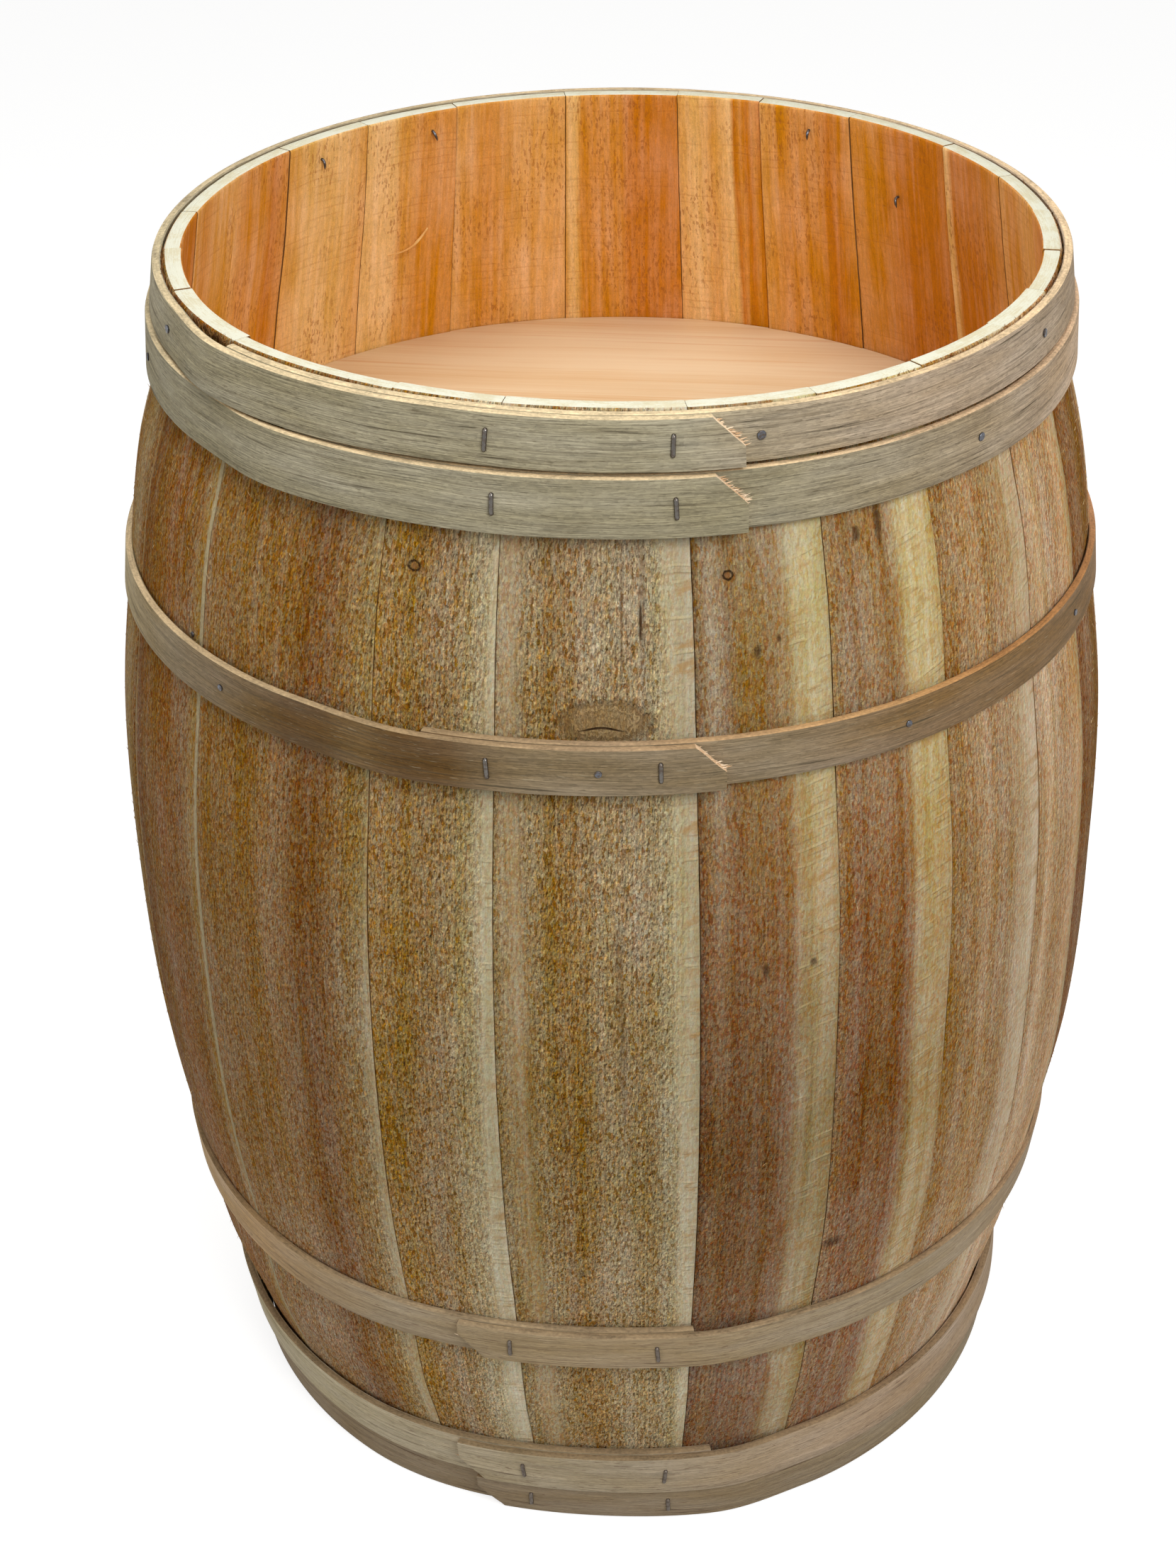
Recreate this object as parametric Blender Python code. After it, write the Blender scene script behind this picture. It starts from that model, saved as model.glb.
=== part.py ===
"""Open wooden display barrel: bulged staves, six bent wooden hoops and a raised display floor.

The barrel stands on +Z with its origin under the middle of its foot. Azimuth 0 is the front,
which faces -Y, and azimuths grow towards +X. Sizes are in metres, azimuths in degrees.
"""
import math

import bmesh
import bpy
import numpy as np

# Overall shape: outer radius of the staves at distances measured from either end
HEIGHT = 0.680
RIM_RADIUS = 0.2235
HEAD_RADIUS = 0.2310
HEAD_FROM_END = 0.0543
SHOULDER_RADIUS = 0.2425
SHOULDER_FROM_END = 0.095
QUARTER_RADIUS = 0.2552
QUARTER_FROM_END = 0.1714
BELLY_RADIUS = 0.2650
BELLY_FROM_END = 0.240
BILGE_RADIUS = 0.2686

# How deep the laps press the staves in, around which azimuth and how far to either side of it
RIM_PRESS = (0.0070, -18.0, 50.0)
QUARTER_PRESS = (0.0038, -5.0, 40.0)
BILGE_PRESS = (0.0, -5.0, 38.0)
LOWER_QUARTER_PRESS = (0.0065, -5.0, 36.0)
FOOT_PRESS = (0.0070, -5.0, 36.0)

# Staves: board widths at the bilge, going round from the joint right of the front board
STAVE_WIDTHS = (
    0.0708, 0.0684, 0.0726, 0.0609, 0.0651, 0.0684, 0.0656, 0.0679, 0.0862, 0.0708, 0.0604, 0.0797,
    0.0797, 0.0708, 0.0712, 0.0609, 0.0656, 0.0656, 0.0679, 0.0867, 0.1171, 0.0647, 0.0998,
)
FIRST_JOINT = 8.3
STAVE_THICKNESS = 0.0090
STAVE_CROWN = 0.6
JOINT_GAP = 0.0003
WIDEST_FACET = 7.6

# Bent strip hoops
HOOP_THICKNESS = 0.0045
HOOP_GAP = 0.0006
LAYER_GAP = 0.0004
HOOP_STEP = 5.0
CLIMB = 15.0
CORNER_CUT = 0.0140
RIM_HOOP_FROM_END = 0.0005
RIM_HOOP_WIDTH = 0.0240
HEAD_HOOP_FROM_END = 0.0262
HEAD_HOOP_WIDTH = 0.0281
QUARTER_HOOP_FROM_END = 0.1474
QUARTER_HOOP_WIDTH = 0.0240
LOWER_QUARTER_HOOP_WIDTH = 0.0220

# Raised display floor: its top lies just above the quarter hoop whose nails hold it
FLOOR_ABOVE_HOOP = 0.0014
FLOOR_THICKNESS = 0.019
SEAT_GAP = 0.0004

# Bottom head in its croze groove
CROZE_HEIGHT = 0.017
CROZE_WIDTH = 0.0060
CROZE_DEPTH = 0.0030
CROZE_TAPER = 0.0008
HEAD_THICKNESS = 0.010
HEAD_BEVEL = 0.008
HEAD_GAP = 0.0003

# Staples and nails
STAPLE_CROWN = 0.0100
STAPLE_WIRE = 0.0012
STAPLE_LEG = 0.0140
NAIL_HEAD_RADIUS = 0.0021
NAIL_HEAD_THICKNESS = 0.0008
NAIL_RADIUS = 0.0009
NAIL_POINT = 0.0020
HOOP_NAIL_LENGTH = 0.019
FLOOR_NAIL_LENGTH = 0.032
NAIL_SIDES = 8
HOLE_GAP = 0.0003

TOP = 1
BOTTOM = -1


def clear_scene():
    """Remove every object that the file starts with."""
    for thing in list(bpy.data.objects):
        bpy.data.objects.remove(thing)


def new_material(name, colour, roughness, metallic=0.0):
    """Make a Principled material."""
    material = bpy.data.materials.new(name)
    material.use_nodes = True
    shader = material.node_tree.nodes["Principled BSDF"]
    shader.inputs["Base Color"].default_value = (*colour, 1.0)
    shader.inputs["Roughness"].default_value = roughness
    shader.inputs["Metallic"].default_value = metallic
    material.diffuse_color = (*colour, 1.0)
    return material


def profile_stations():
    """Heights and outer radii of the stave curve, the same at both ends."""
    from_end = (
        (0.0, RIM_RADIUS),
        (HEAD_FROM_END, HEAD_RADIUS),
        (SHOULDER_FROM_END, SHOULDER_RADIUS),
        (QUARTER_FROM_END, QUARTER_RADIUS),
        (BELLY_FROM_END, BELLY_RADIUS),
    )
    lower = list(from_end)
    upper = [(HEIGHT - distance, radius) for distance, radius in reversed(from_end)]
    return lower + [(HEIGHT / 2, BILGE_RADIUS)] + upper


STATIONS = profile_stations()
STATION_HEIGHTS = [height for height, radius in STATIONS]
STATION_RADII = [radius for height, radius in STATIONS]


def outer_radius(height):
    """Outer radius of the stave corners at a height."""
    return float(np.interp(height, STATION_HEIGHTS, STATION_RADII))


def inner_radius(height):
    """Inner radius of the staves at a height."""
    return outer_radius(height) - STAVE_THICKNESS


def station_press(azimuth, height):
    """How far in the staves are pressed at one of the stations."""
    heights = (0.0, QUARTER_FROM_END, HEIGHT / 2, HEIGHT - QUARTER_FROM_END, HEIGHT)
    presses = (FOOT_PRESS, LOWER_QUARTER_PRESS, BILGE_PRESS, QUARTER_PRESS, RIM_PRESS)
    depth, centre, reach = (float(np.interp(height, heights, values)) for values in zip(*presses))
    away = min(abs((azimuth - centre + 180.0) % 360.0 - 180.0) / reach, 1.0)
    return depth * (1 + math.cos(math.pi * away)) / 2


def press(azimuth, height):
    """How far in everything lies at an azimuth and height."""
    depths = [station_press(azimuth, station) for station in STATION_HEIGHTS]
    return float(np.interp(height, STATION_HEIGHTS, depths))


def point(radius, azimuth, height):
    """A point from its radius before the pressing, azimuth in degrees and height."""
    angle = math.radians(azimuth)
    radius -= press(azimuth, height)
    return (radius * math.sin(angle), -radius * math.cos(angle), height)


def stave_joints():
    """Azimuths of the joints between staves, one more than there are staves."""
    shares = np.cumsum(STAVE_WIDTHS) / sum(STAVE_WIDTHS)
    return [FIRST_JOINT] + [FIRST_JOINT + 360.0 * float(share) for share in shares]


JOINTS = stave_joints()


def facet_azimuths(start, end):
    """Evenly spaced azimuths across one stave, both joints included."""
    count = max(2, math.ceil((end - start) / WIDEST_FACET))
    return [start + (end - start) * step / count for step in range(count + 1)]


def finish_object(name, bm, material, smooth=True):
    """Turn a bmesh into an object with its faces pointing out."""
    bmesh.ops.recalc_face_normals(bm, faces=bm.faces[:])
    mesh = bpy.data.meshes.new(name)
    bm.to_mesh(mesh)
    bm.free()
    if smooth:
        mesh.shade_smooth()
        mesh.set_sharp_from_angle(angle=math.radians(35))
    mesh.materials.append(material)
    thing = bpy.data.objects.new(name, mesh)
    bpy.context.scene.collection.objects.link(thing)
    thing.parent = BARREL
    return thing


def loft(name, rings, material):
    """Join rings with equal point counts into one closed solid with a cap at each end."""
    bm = bmesh.new()
    loops = [[bm.verts.new(place) for place in ring] for ring in rings]
    for low, high in zip(loops, loops[1:]):
        for index in range(len(low)):
            after = (index + 1) % len(low)
            bm.faces.new((low[index], low[after], high[after], high[index]))
    bm.faces.new(loops[0])
    bm.faces.new(loops[-1])
    return finish_object(name, bm, material)


def groove_levels():
    """Heights and depths of the croze groove's four corners."""
    low = CROZE_HEIGHT - CROZE_WIDTH / 2
    high = CROZE_HEIGHT + CROZE_WIDTH / 2
    return [
        (low, 0.0),
        (low + CROZE_TAPER, CROZE_DEPTH),
        (high - CROZE_TAPER, CROZE_DEPTH),
        (high, 0.0),
    ]


def stave_ring(start, end, height, groove):
    """Outline of one stave at a height: its outer face, then its inner face back again."""
    corner = outer_radius(height)
    inside = inner_radius(height) + groove
    azimuths = facet_azimuths(start, end)
    middle = (start + end) / 2
    half = math.radians(end - start) / 2
    outer = []
    inner = []
    for index, azimuth in enumerate(azimuths):
        chord = corner * math.cos(half) / math.cos(math.radians(azimuth - middle))
        face = chord + STAVE_CROWN * (corner - chord)
        inset = 0.0
        if index == 0:
            inset = JOINT_GAP / 2
        if index == len(azimuths) - 1:
            inset = -JOINT_GAP / 2
        outer.append(point(face, azimuth + math.degrees(inset / face), height))
        inner.append(point(inside, azimuth + math.degrees(inset / inside), height))
    return outer + inner[::-1]


def make_staves(tones):
    """One bowed board between each pair of joints."""
    levels = [(height, 0.0) for height in STATION_HEIGHTS] + groove_levels()
    levels.sort()
    staves = []
    for index, (start, end) in enumerate(zip(JOINTS, JOINTS[1:])):
        rings = [stave_ring(start, end, height, groove) for height, groove in levels]
        tone = tones[index % len(tones)]
        staves.append(loft(f"stave_{index + 1:02d}", rings, tone))
    return staves


class Hoop:
    """A strip bent once round the barrel whose ends lap over each other.

    The strip starts at inner_end, passes under its own lap and goes once round. It climbs
    over its start and ends at outer_end with one corner cut off. How far the strip leans
    with the taper of the staves is follow: 1 lies flat on them, 0 stands upright.
    """

    def __init__(self, name, side, from_end, width, follow, inner_end, outer_end):
        self.name = name
        self.side = side
        self.inner_end = inner_end
        self.outer_end = outer_end
        self.turn = 1 if outer_end > inner_end else -1
        self.lap = abs(outer_end - inner_end)
        edge = HEIGHT if side == TOP else 0.0
        self.end_edge = edge - side * from_end
        self.bilge_edge = edge - side * (from_end + width)
        self.bilge_radius = outer_radius(self.bilge_edge) + HOOP_GAP
        taper = outer_radius(self.bilge_edge) - outer_radius(self.end_edge)
        self.end_radius = self.bilge_radius - follow * taper

    def inside(self, height):
        """Inner radius of the strip's first layer at a height."""
        share = (height - self.bilge_edge) / (self.end_edge - self.bilge_edge)
        return self.bilge_radius + share * (self.end_radius - self.bilge_radius)

    def climb(self, travelled):
        """How far the strip has climbed off the staves after a travel in degrees."""
        share = min(max((travelled - 360.0 + CLIMB) / CLIMB, 0.0), 1.0)
        return (HOOP_THICKNESS + LAYER_GAP) * (1 - math.cos(math.pi * share)) / 2

    def face(self, azimuth, height):
        """Radius of the outermost face at an azimuth and height."""
        travelled = (self.turn * (azimuth - self.inner_end)) % 360.0
        if travelled < self.lap:
            travelled += 360.0
        unpressed = self.inside(height) + self.climb(travelled) + HOOP_THICKNESS
        return unpressed - press(azimuth, height)

    def middle(self):
        """Height of the strip's centre line."""
        return (self.end_edge + self.bilge_edge) / 2

    def section(self, travelled, cut):
        """The strip's four corners after a travel, with its end edge cut back."""
        azimuth = self.inner_end + self.turn * travelled
        end_edge = self.end_edge - self.side * cut
        lift = self.climb(travelled)
        corners = []
        for height, depth in (
            (self.bilge_edge, 0.0),
            (self.bilge_edge, HOOP_THICKNESS),
            (end_edge, HOOP_THICKNESS),
            (end_edge, 0.0),
        ):
            corners.append(point(self.inside(height) + lift + depth, azimuth, height))
        return corners

    def build(self, material):
        """Loft the strip along its path."""
        length = 360.0 + self.lap
        cut_angle = math.degrees(CORNER_CUT / self.face(self.outer_end, self.middle()))
        steps = int((length - cut_angle) // HOOP_STEP)
        travels = [step * HOOP_STEP for step in range(steps + 1)]
        if length - cut_angle - travels[-1] < HOOP_STEP / 10:
            travels.pop()
        travels.append(length - cut_angle)
        rings = [self.section(travelled, 0.0) for travelled in travels]
        rings.append(self.section(length, CORNER_CUT))
        return loft(self.name, rings, material)


def hoop_list():
    """The six hoops from the rim down."""
    rim = (RIM_HOOP_FROM_END, RIM_HOOP_WIDTH, 1.0)
    head = (HEAD_HOOP_FROM_END, HEAD_HOOP_WIDTH, 0.5)
    quarter = (QUARTER_HOOP_FROM_END, QUARTER_HOOP_WIDTH, 0.1)
    lower_quarter = (QUARTER_HOOP_FROM_END, LOWER_QUARTER_HOOP_WIDTH, 0.1)
    return [
        Hoop("hoop_rim_top", TOP, *rim, -51.0, 14.1),
        Hoop("hoop_head_top", TOP, *head, -40.0, 14.2),
        Hoop("hoop_quarter_top", TOP, *quarter, -20.3, 10.9),
        Hoop("hoop_quarter_bottom", BOTTOM, *lower_quarter, 8.4, -19.6),
        Hoop("hoop_head_bottom", BOTTOM, *head, 12.0, -23.0),
        Hoop("hoop_rim_bottom", BOTTOM, *rim, 12.0, -21.0),
    ]


def joint_outline(levels):
    """Rings that follow the facets of the staves at given heights and radial offsets."""
    azimuths = []
    for start, end in zip(JOINTS, JOINTS[1:]):
        azimuths += facet_azimuths(start, end)[:-1]
    rings = []
    for height, wall_height, offset in levels:
        radius = inner_radius(wall_height) + offset
        rings.append([point(radius, azimuth, height) for azimuth in azimuths])
    return rings


def make_floor(material):
    """The raised display floor, bevelled to the slope of the staves."""
    top = HEIGHT - QUARTER_HOOP_FROM_END + FLOOR_ABOVE_HOOP
    levels = [(height, height, -SEAT_GAP) for height in (top - FLOOR_THICKNESS, top)]
    return loft("display_floor", joint_outline(levels), material)


def make_bottom_head(material):
    """The bottom head, whose bevelled edge sits in the croze groove."""
    edge_half = CROZE_WIDTH / 2 - CROZE_TAPER - HEAD_GAP
    reach = CROZE_DEPTH - SEAT_GAP
    full = HEAD_THICKNESS / 2
    levels = [
        (CROZE_HEIGHT - full, CROZE_HEIGHT, -HEAD_BEVEL),
        (CROZE_HEIGHT - edge_half, CROZE_HEIGHT - CROZE_WIDTH / 2, reach),
        (CROZE_HEIGHT + edge_half, CROZE_HEIGHT - CROZE_WIDTH / 2, reach),
        (CROZE_HEIGHT + full, CROZE_HEIGHT, -HEAD_BEVEL),
    ]
    return loft("bottom_head", joint_outline(levels), material)


def radial_frame(azimuth):
    """Outward and sideways unit directions at an azimuth."""
    angle = math.radians(azimuth)
    outward = (math.sin(angle), -math.cos(angle))
    sideways = (math.cos(angle), math.sin(angle))
    return outward, sideways


def place(azimuth, out, side, height):
    """A point given along the outward and sideways directions of an azimuth."""
    outward, sideways = radial_frame(azimuth)
    return (out * outward[0] + side * sideways[0], out * outward[1] + side * sideways[1], height)


def slab(azimuth, outline, half_width):
    """Two rings that extrude an outline of (out, height) sideways."""
    rings = []
    for side in (-half_width, half_width):
        rings.append([place(azimuth, out, side, height) for out, height in outline])
    return rings


def add_cutter(name, rings_list):
    """A hidden guide solid that bores holes."""
    bm = bmesh.new()
    for rings in rings_list:
        loops = [[bm.verts.new(spot) for spot in ring] for ring in rings]
        for low, high in zip(loops, loops[1:]):
            for index in range(len(low)):
                after = (index + 1) % len(low)
                bm.faces.new((low[index], low[after], high[after], high[index]))
        bm.faces.new(loops[0])
        bm.faces.new(loops[-1])
    cutter = finish_object(name, bm, STEEL, smooth=False)
    cutter.display_type = "WIRE"
    cutter.hide_render = True
    return cutter


def bore(target, cutter):
    """Cut a hole in a target with an exact Boolean."""
    modifier = target.modifiers.new(cutter.name, "BOOLEAN")
    modifier.operation = "DIFFERENCE"
    modifier.solver = "EXACT"
    modifier.object = cutter


def staves_near(staves, azimuth, reach):
    """The staves that lie within a reach in degrees of an azimuth."""
    near = []
    for stave, start, end in zip(staves, JOINTS, JOINTS[1:]):
        middle = (start + end) / 2
        half = (end - start) / 2
        away = abs((azimuth - middle + 180.0) % 360.0 - 180.0)
        if away < half + reach:
            near.append(stave)
    return near


def make_staple(name, hoop, hoop_object, azimuth, staves):
    """A wire staple with its crown upright on the lap and its legs in bored holes."""
    low = hoop.middle() - STAPLE_CROWN / 2
    high = hoop.middle() + STAPLE_CROWN / 2
    seat = max(hoop.face(azimuth, low), hoop.face(azimuth, high)) + HOLE_GAP
    tip = seat - STAPLE_LEG
    outline = [
        (tip, low),
        (seat + STAPLE_WIRE, low),
        (seat + STAPLE_WIRE, high),
        (tip, high),
        (tip, high - STAPLE_WIRE),
        (seat, high - STAPLE_WIRE),
        (seat, low + STAPLE_WIRE),
        (tip, low + STAPLE_WIRE),
    ]
    loft(name, slab(azimuth, outline, STAPLE_WIRE / 2), STEEL)
    holes = []
    for bottom, top in ((low, low + STAPLE_WIRE), (high - STAPLE_WIRE, high)):
        hole = [
            (tip - HOLE_GAP, bottom - HOLE_GAP),
            (seat + STAPLE_WIRE, bottom - HOLE_GAP),
            (seat + STAPLE_WIRE, top + HOLE_GAP),
            (tip - HOLE_GAP, top + HOLE_GAP),
        ]
        holes.append(slab(azimuth, hole, STAPLE_WIRE / 2 + HOLE_GAP))
    cutter = add_cutter(f"bore_{name}", holes)
    bore(hoop_object, cutter)
    reach = math.degrees((STAPLE_WIRE + HOLE_GAP) / tip)
    for stave in staves_near(staves, azimuth, reach):
        bore(stave, cutter)


def disc_ring(azimuth, out, radius, height):
    """A ring of points round a horizontal radial axis."""
    ring = []
    for index in range(NAIL_SIDES):
        angle = 2 * math.pi * (index + 0.5) / NAIL_SIDES
        ring.append(place(azimuth, out, radius * math.cos(angle), height + radius * math.sin(angle)))
    return ring


def make_nail(name, hoop, hoop_object, azimuth, length, staves, floor):
    """A flat-headed nail driven through a hoop and the stave behind it."""
    centre = hoop.middle()
    seat = max(
        hoop.face(azimuth, centre - NAIL_HEAD_RADIUS),
        hoop.face(azimuth, centre + NAIL_HEAD_RADIUS),
    ) + HOLE_GAP
    tip = seat - length
    rings = [
        disc_ring(azimuth, tip, NAIL_RADIUS / 4, centre),
        disc_ring(azimuth, tip + NAIL_POINT, NAIL_RADIUS, centre),
        disc_ring(azimuth, seat, NAIL_RADIUS, centre),
        disc_ring(azimuth, seat, NAIL_HEAD_RADIUS, centre),
        disc_ring(azimuth, seat + NAIL_HEAD_THICKNESS / 2, NAIL_HEAD_RADIUS, centre),
        disc_ring(azimuth, seat + NAIL_HEAD_THICKNESS, NAIL_HEAD_RADIUS * 0.7, centre),
    ]
    loft(name, rings, STEEL)
    hole_radius = NAIL_RADIUS + HOLE_GAP
    hole = [
        disc_ring(azimuth, tip - HOLE_GAP, hole_radius, centre),
        disc_ring(azimuth, seat + HOOP_THICKNESS, hole_radius, centre),
    ]
    cutter = add_cutter(f"bore_{name}", [hole])
    bore(hoop_object, cutter)
    reach = math.degrees(2 * hole_radius / tip)
    for stave in staves_near(staves, azimuth, reach):
        bore(stave, cutter)
    if floor is not None:
        bore(floor, cutter)


def make_staples(hoops, hoop_objects, staves):
    """Two staples hold each lap, one near either end of it."""
    azimuths = {
        "hoop_rim_top": (-14.2, 6.3),
        "hoop_head_top": (-13.3, 6.5),
        "hoop_quarter_top": (-13.1, 4.3),
        "hoop_quarter_bottom": (-13.3, 4.0),
        "hoop_head_bottom": (-13.9, 5.5),
        "hoop_rim_bottom": (-13.3, 6.1),
    }
    for hoop in hoops:
        label = hoop.name.replace("hoop_", "staple_")
        for side, azimuth in zip(("left", "right"), azimuths[hoop.name]):
            make_staple(f"{label}_{side}", hoop, hoop_objects[hoop.name], azimuth, staves)


def make_nails(hoops, hoop_objects, staves, floor):
    """Nails along the middle of the hoops. The upper quarter hoop's run on into the floor."""
    azimuths = {
        "hoop_rim_top": (-66.1, 16.2, 61.2, 148.8, 207.9, 227.7),
        "hoop_head_top": (-75.0, 45.5, 133.4),
        "hoop_quarter_top": (-46.4, -1.9, 31.6, 63.3, 112.0, 180.0, 250.0),
    }
    for hoop in hoops:
        label = hoop.name.replace("hoop_", "nail_")
        into_floor = hoop.name == "hoop_quarter_top"
        for index, azimuth in enumerate(azimuths.get(hoop.name, ())):
            length = FLOOR_NAIL_LENGTH if into_floor else HOOP_NAIL_LENGTH
            target = floor if into_floor else None
            name = f"{label}_{index + 1}"
            make_nail(name, hoop, hoop_objects[hoop.name], azimuth, length, staves, target)


clear_scene()
BARREL = bpy.data.objects.new("wooden_barrel", None)
bpy.context.scene.collection.objects.link(BARREL)

STEEL = new_material("staple_steel", (0.32, 0.32, 0.33), 0.45, 1.0)
STAVE_TONES = [
    new_material("stave_brown", (0.33, 0.19, 0.09), 0.85),
    new_material("stave_tan", (0.42, 0.27, 0.13), 0.85),
    new_material("stave_pale", (0.50, 0.34, 0.18), 0.85),
]
HOOP_WOOD = new_material("hoop_grey_wood", (0.36, 0.28, 0.19), 0.8)
LOWER_HOOP_WOOD = new_material("hoop_beige_wood", (0.45, 0.33, 0.22), 0.8)
FLOOR_WOOD = new_material("floor_pine", (0.72, 0.45, 0.24), 0.6)
HEAD_WOOD = new_material("head_pine", (0.60, 0.38, 0.20), 0.7)

STAVES = make_staves(STAVE_TONES)
FLOOR = make_floor(FLOOR_WOOD)
make_bottom_head(HEAD_WOOD)
HOOPS = hoop_list()
HOOP_OBJECTS = {}
for each_hoop in HOOPS:
    wood = HOOP_WOOD if each_hoop.side == TOP else LOWER_HOOP_WOOD
    HOOP_OBJECTS[each_hoop.name] = each_hoop.build(wood)
make_staples(HOOPS, HOOP_OBJECTS, STAVES)
make_nails(HOOPS, HOOP_OBJECTS, STAVES, FLOOR)
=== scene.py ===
import math

import bpy
import numpy as np
from mathutils import Matrix, Vector


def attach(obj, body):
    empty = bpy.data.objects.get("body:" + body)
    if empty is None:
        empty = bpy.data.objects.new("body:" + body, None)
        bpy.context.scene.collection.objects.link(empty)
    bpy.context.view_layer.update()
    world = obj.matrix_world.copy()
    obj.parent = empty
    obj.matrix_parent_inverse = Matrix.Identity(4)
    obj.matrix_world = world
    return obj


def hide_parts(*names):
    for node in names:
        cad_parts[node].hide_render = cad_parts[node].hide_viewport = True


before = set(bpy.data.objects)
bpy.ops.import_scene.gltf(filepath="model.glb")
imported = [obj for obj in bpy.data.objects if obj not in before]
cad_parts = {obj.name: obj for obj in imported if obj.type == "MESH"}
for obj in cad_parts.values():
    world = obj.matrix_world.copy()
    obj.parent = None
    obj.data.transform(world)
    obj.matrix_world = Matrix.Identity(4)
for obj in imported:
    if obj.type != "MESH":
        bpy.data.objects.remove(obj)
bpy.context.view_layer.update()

# Outer radius of the boards at distances from either end, as in the solids
HEIGHT = 0.680
FROM_END = ((0.0, 0.2235), (0.0543, 0.2310), (0.095, 0.2425), (0.1714, 0.2552), (0.240, 0.2650))
BILGE_RADIUS = 0.2686

# Inner radius of the boards at the same stations, from the foot up
INNER_RADII = (0.2145, 0.2220, 0.2335, 0.2462, 0.2560, 0.2596, 0.2560, 0.2462, 0.2322, 0.2236, 0.2145)

# How deep the laps press the boards in at heights, around which azimuth and how far to either side
PRESSES = (
    (0.0, 0.0070, -5.0, 36.0),
    (0.1714, 0.0065, -5.0, 36.0),
    (0.340, 0.0, -5.0, 38.0),
    (0.5086, 0.0038, -5.0, 40.0),
    (0.680, 0.0070, -18.0, 50.0),
)

# How far the bent barrel bulges to its left at heights: the left side out and the right side in
BULGES = (
    (0.0, 0.0), (0.030, 0.0010), (0.0543, 0.0036), (0.095, 0.0044), (0.1714, 0.0027), (0.240, 0.0020),
    (0.340, 0.0031), (0.5086, 0.0032), (0.585, 0.0023), (0.6257, 0.0011), (0.680, 0.0004),
)

# Boards: widths from the first joint on, which is in degrees
STAVE_WIDTHS = (
    0.0708, 0.0684, 0.0726, 0.0609, 0.0651, 0.0684, 0.0656, 0.0679, 0.0862, 0.0708, 0.0604, 0.0797,
    0.0797, 0.0708, 0.0712, 0.0609, 0.0656, 0.0656, 0.0679, 0.0867, 0.1171, 0.0647, 0.0998,
)
FIRST_JOINT = 8.3
STAVE_THICKNESS = 0.0090
STAVE_CROWN = 0.85

# Long edges: distances from the joint, how far the face drops there and the share of it inside
JOINT_GAP = 0.0002
JOINT_RAGGED = 0.00009
EDGE_AT = np.array([0.0, 0.0003, 0.0009, 0.0022])
EDGE_DROP = np.array([0.0005, 0.00018, 0.00004, 0.0])
INSIDE_EASE = 0.7

# Ends: distances from the end, how far the face drops there and how uneven the tops are
END_AT = (0.0, 0.0004, 0.0013)
END_DROP = (0.0008, 0.0003, 0.0)
END_RAGGED = 0.0009

# Depth of the groove for the bottom head, by height
CROZE = {0.0140: 0.0, 0.0148: 0.0030, 0.0192: 0.0030, 0.0200: 0.0}

# Mesh of a board between the groove and the top, and how it wavers along its length
BODY_START = 0.026
BODY_END = 0.006
BODY_LEVELS = 74
COLUMN_WIDTH = 0.0052
SWAY = 0.00025
SWAY_LENGTH = 0.09

# Hoops: gaps to the boards and between layers, degrees of the climb, cut corner, mesh steps and how
# much closer those that hug the boards lie
HOOP_THICKNESS = 0.0045
HOOP_GAP = 0.0006
LAYER_GAP = 0.0004
CLIMB = 15.0
CORNER_CUT = 0.0140
CORNER_STEPS = 9
CORNER_RAGGED = 0.0003
TURN_STEP = 1.5
SNUG = 0.0022
TOP = 1
BOTTOM = -1

# Display floor
FLOOR_TOP = 0.534
FLOOR_THICKNESS = 0.019
PLANK_WIDTH = 0.07

# Knots of the display floor: place, radii and how dark
FLOOR_KNOTS = (
    (0.083, 0.045, 0.0075, 0.0060, 0.55),
    (0.101, 0.075, 0.0070, 0.0042, 0.85),
    (-0.031, 0.098, 0.0030, 0.0016, 0.7),
)

# Staples and nails
STAPLE_RADIUS = 0.0011
STAPLE_HALF = 0.0044
STAPLE_BEND = 0.0007
STAPLE_LEG = 0.0060
NAIL_SIDES = 24
# Bent point of a nail inside: how far in from the board and how far down
NAIL_POINT = ((-0.0006, 0.0), (-0.0016, 0.0005), (-0.0022, 0.0016), (-0.0024, 0.0034), (-0.0021, 0.0052))

# Splinters tried on the boards
FIBRE_TRIES = 9000

# Lengths of the ribs and saw marks on the boards, places of two noises and how ragged strokes are
RIB_LENGTH = 0.0024
SAW_LENGTH = 0.0078
INNER_SAW_LENGTH = 0.0047
STROKE_SHIFT = (7.7, 4.1, 2.9)
SAW_SHIFT = (2.3, 5.9, 1.1)
FRAY = 1.3

# Stage and camera: turns are yaw, pitch and roll in radians, the focal length is in picture heights
STAGE_REACH = 6.0
CAMERA_PLACE = (0.0, -1.25707, 1.14764)
CAMERA_TURNS = (-0.0134, 0.5656, -0.0172)
CAMERA_FOCAL = 3687.76 / 2212


def srgb(red, green, blue):
    """Linear colour from one written as 8-bit display values."""
    out = []
    for part in (red, green, blue):
        part /= 255
        out.append(part / 12.92 if part <= 0.04045 else ((part + 0.055) / 1.055) ** 2.4)
    return (*out, 1.0)


# Wood tones of the outside
PALE = (186, 174, 142)
CREAM = (176, 154, 114)
SAND = (166, 146, 109)
TAN = (163, 136, 94)
PEACH = (194, 160, 120)
CLAY = (162, 122, 84)
OCHRE = (156, 122, 70)
LOAM = (151, 115, 71)
BROWN = (146, 107, 62)
RUSSET = (150, 104, 68)
UMBER = (126, 88, 53)

# Wood tones of the inside
HONEY = (226, 183, 118)
AMBER = (216, 161, 90)
COPPER = (208, 145, 72)
RUST = (196, 124, 48)


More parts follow.
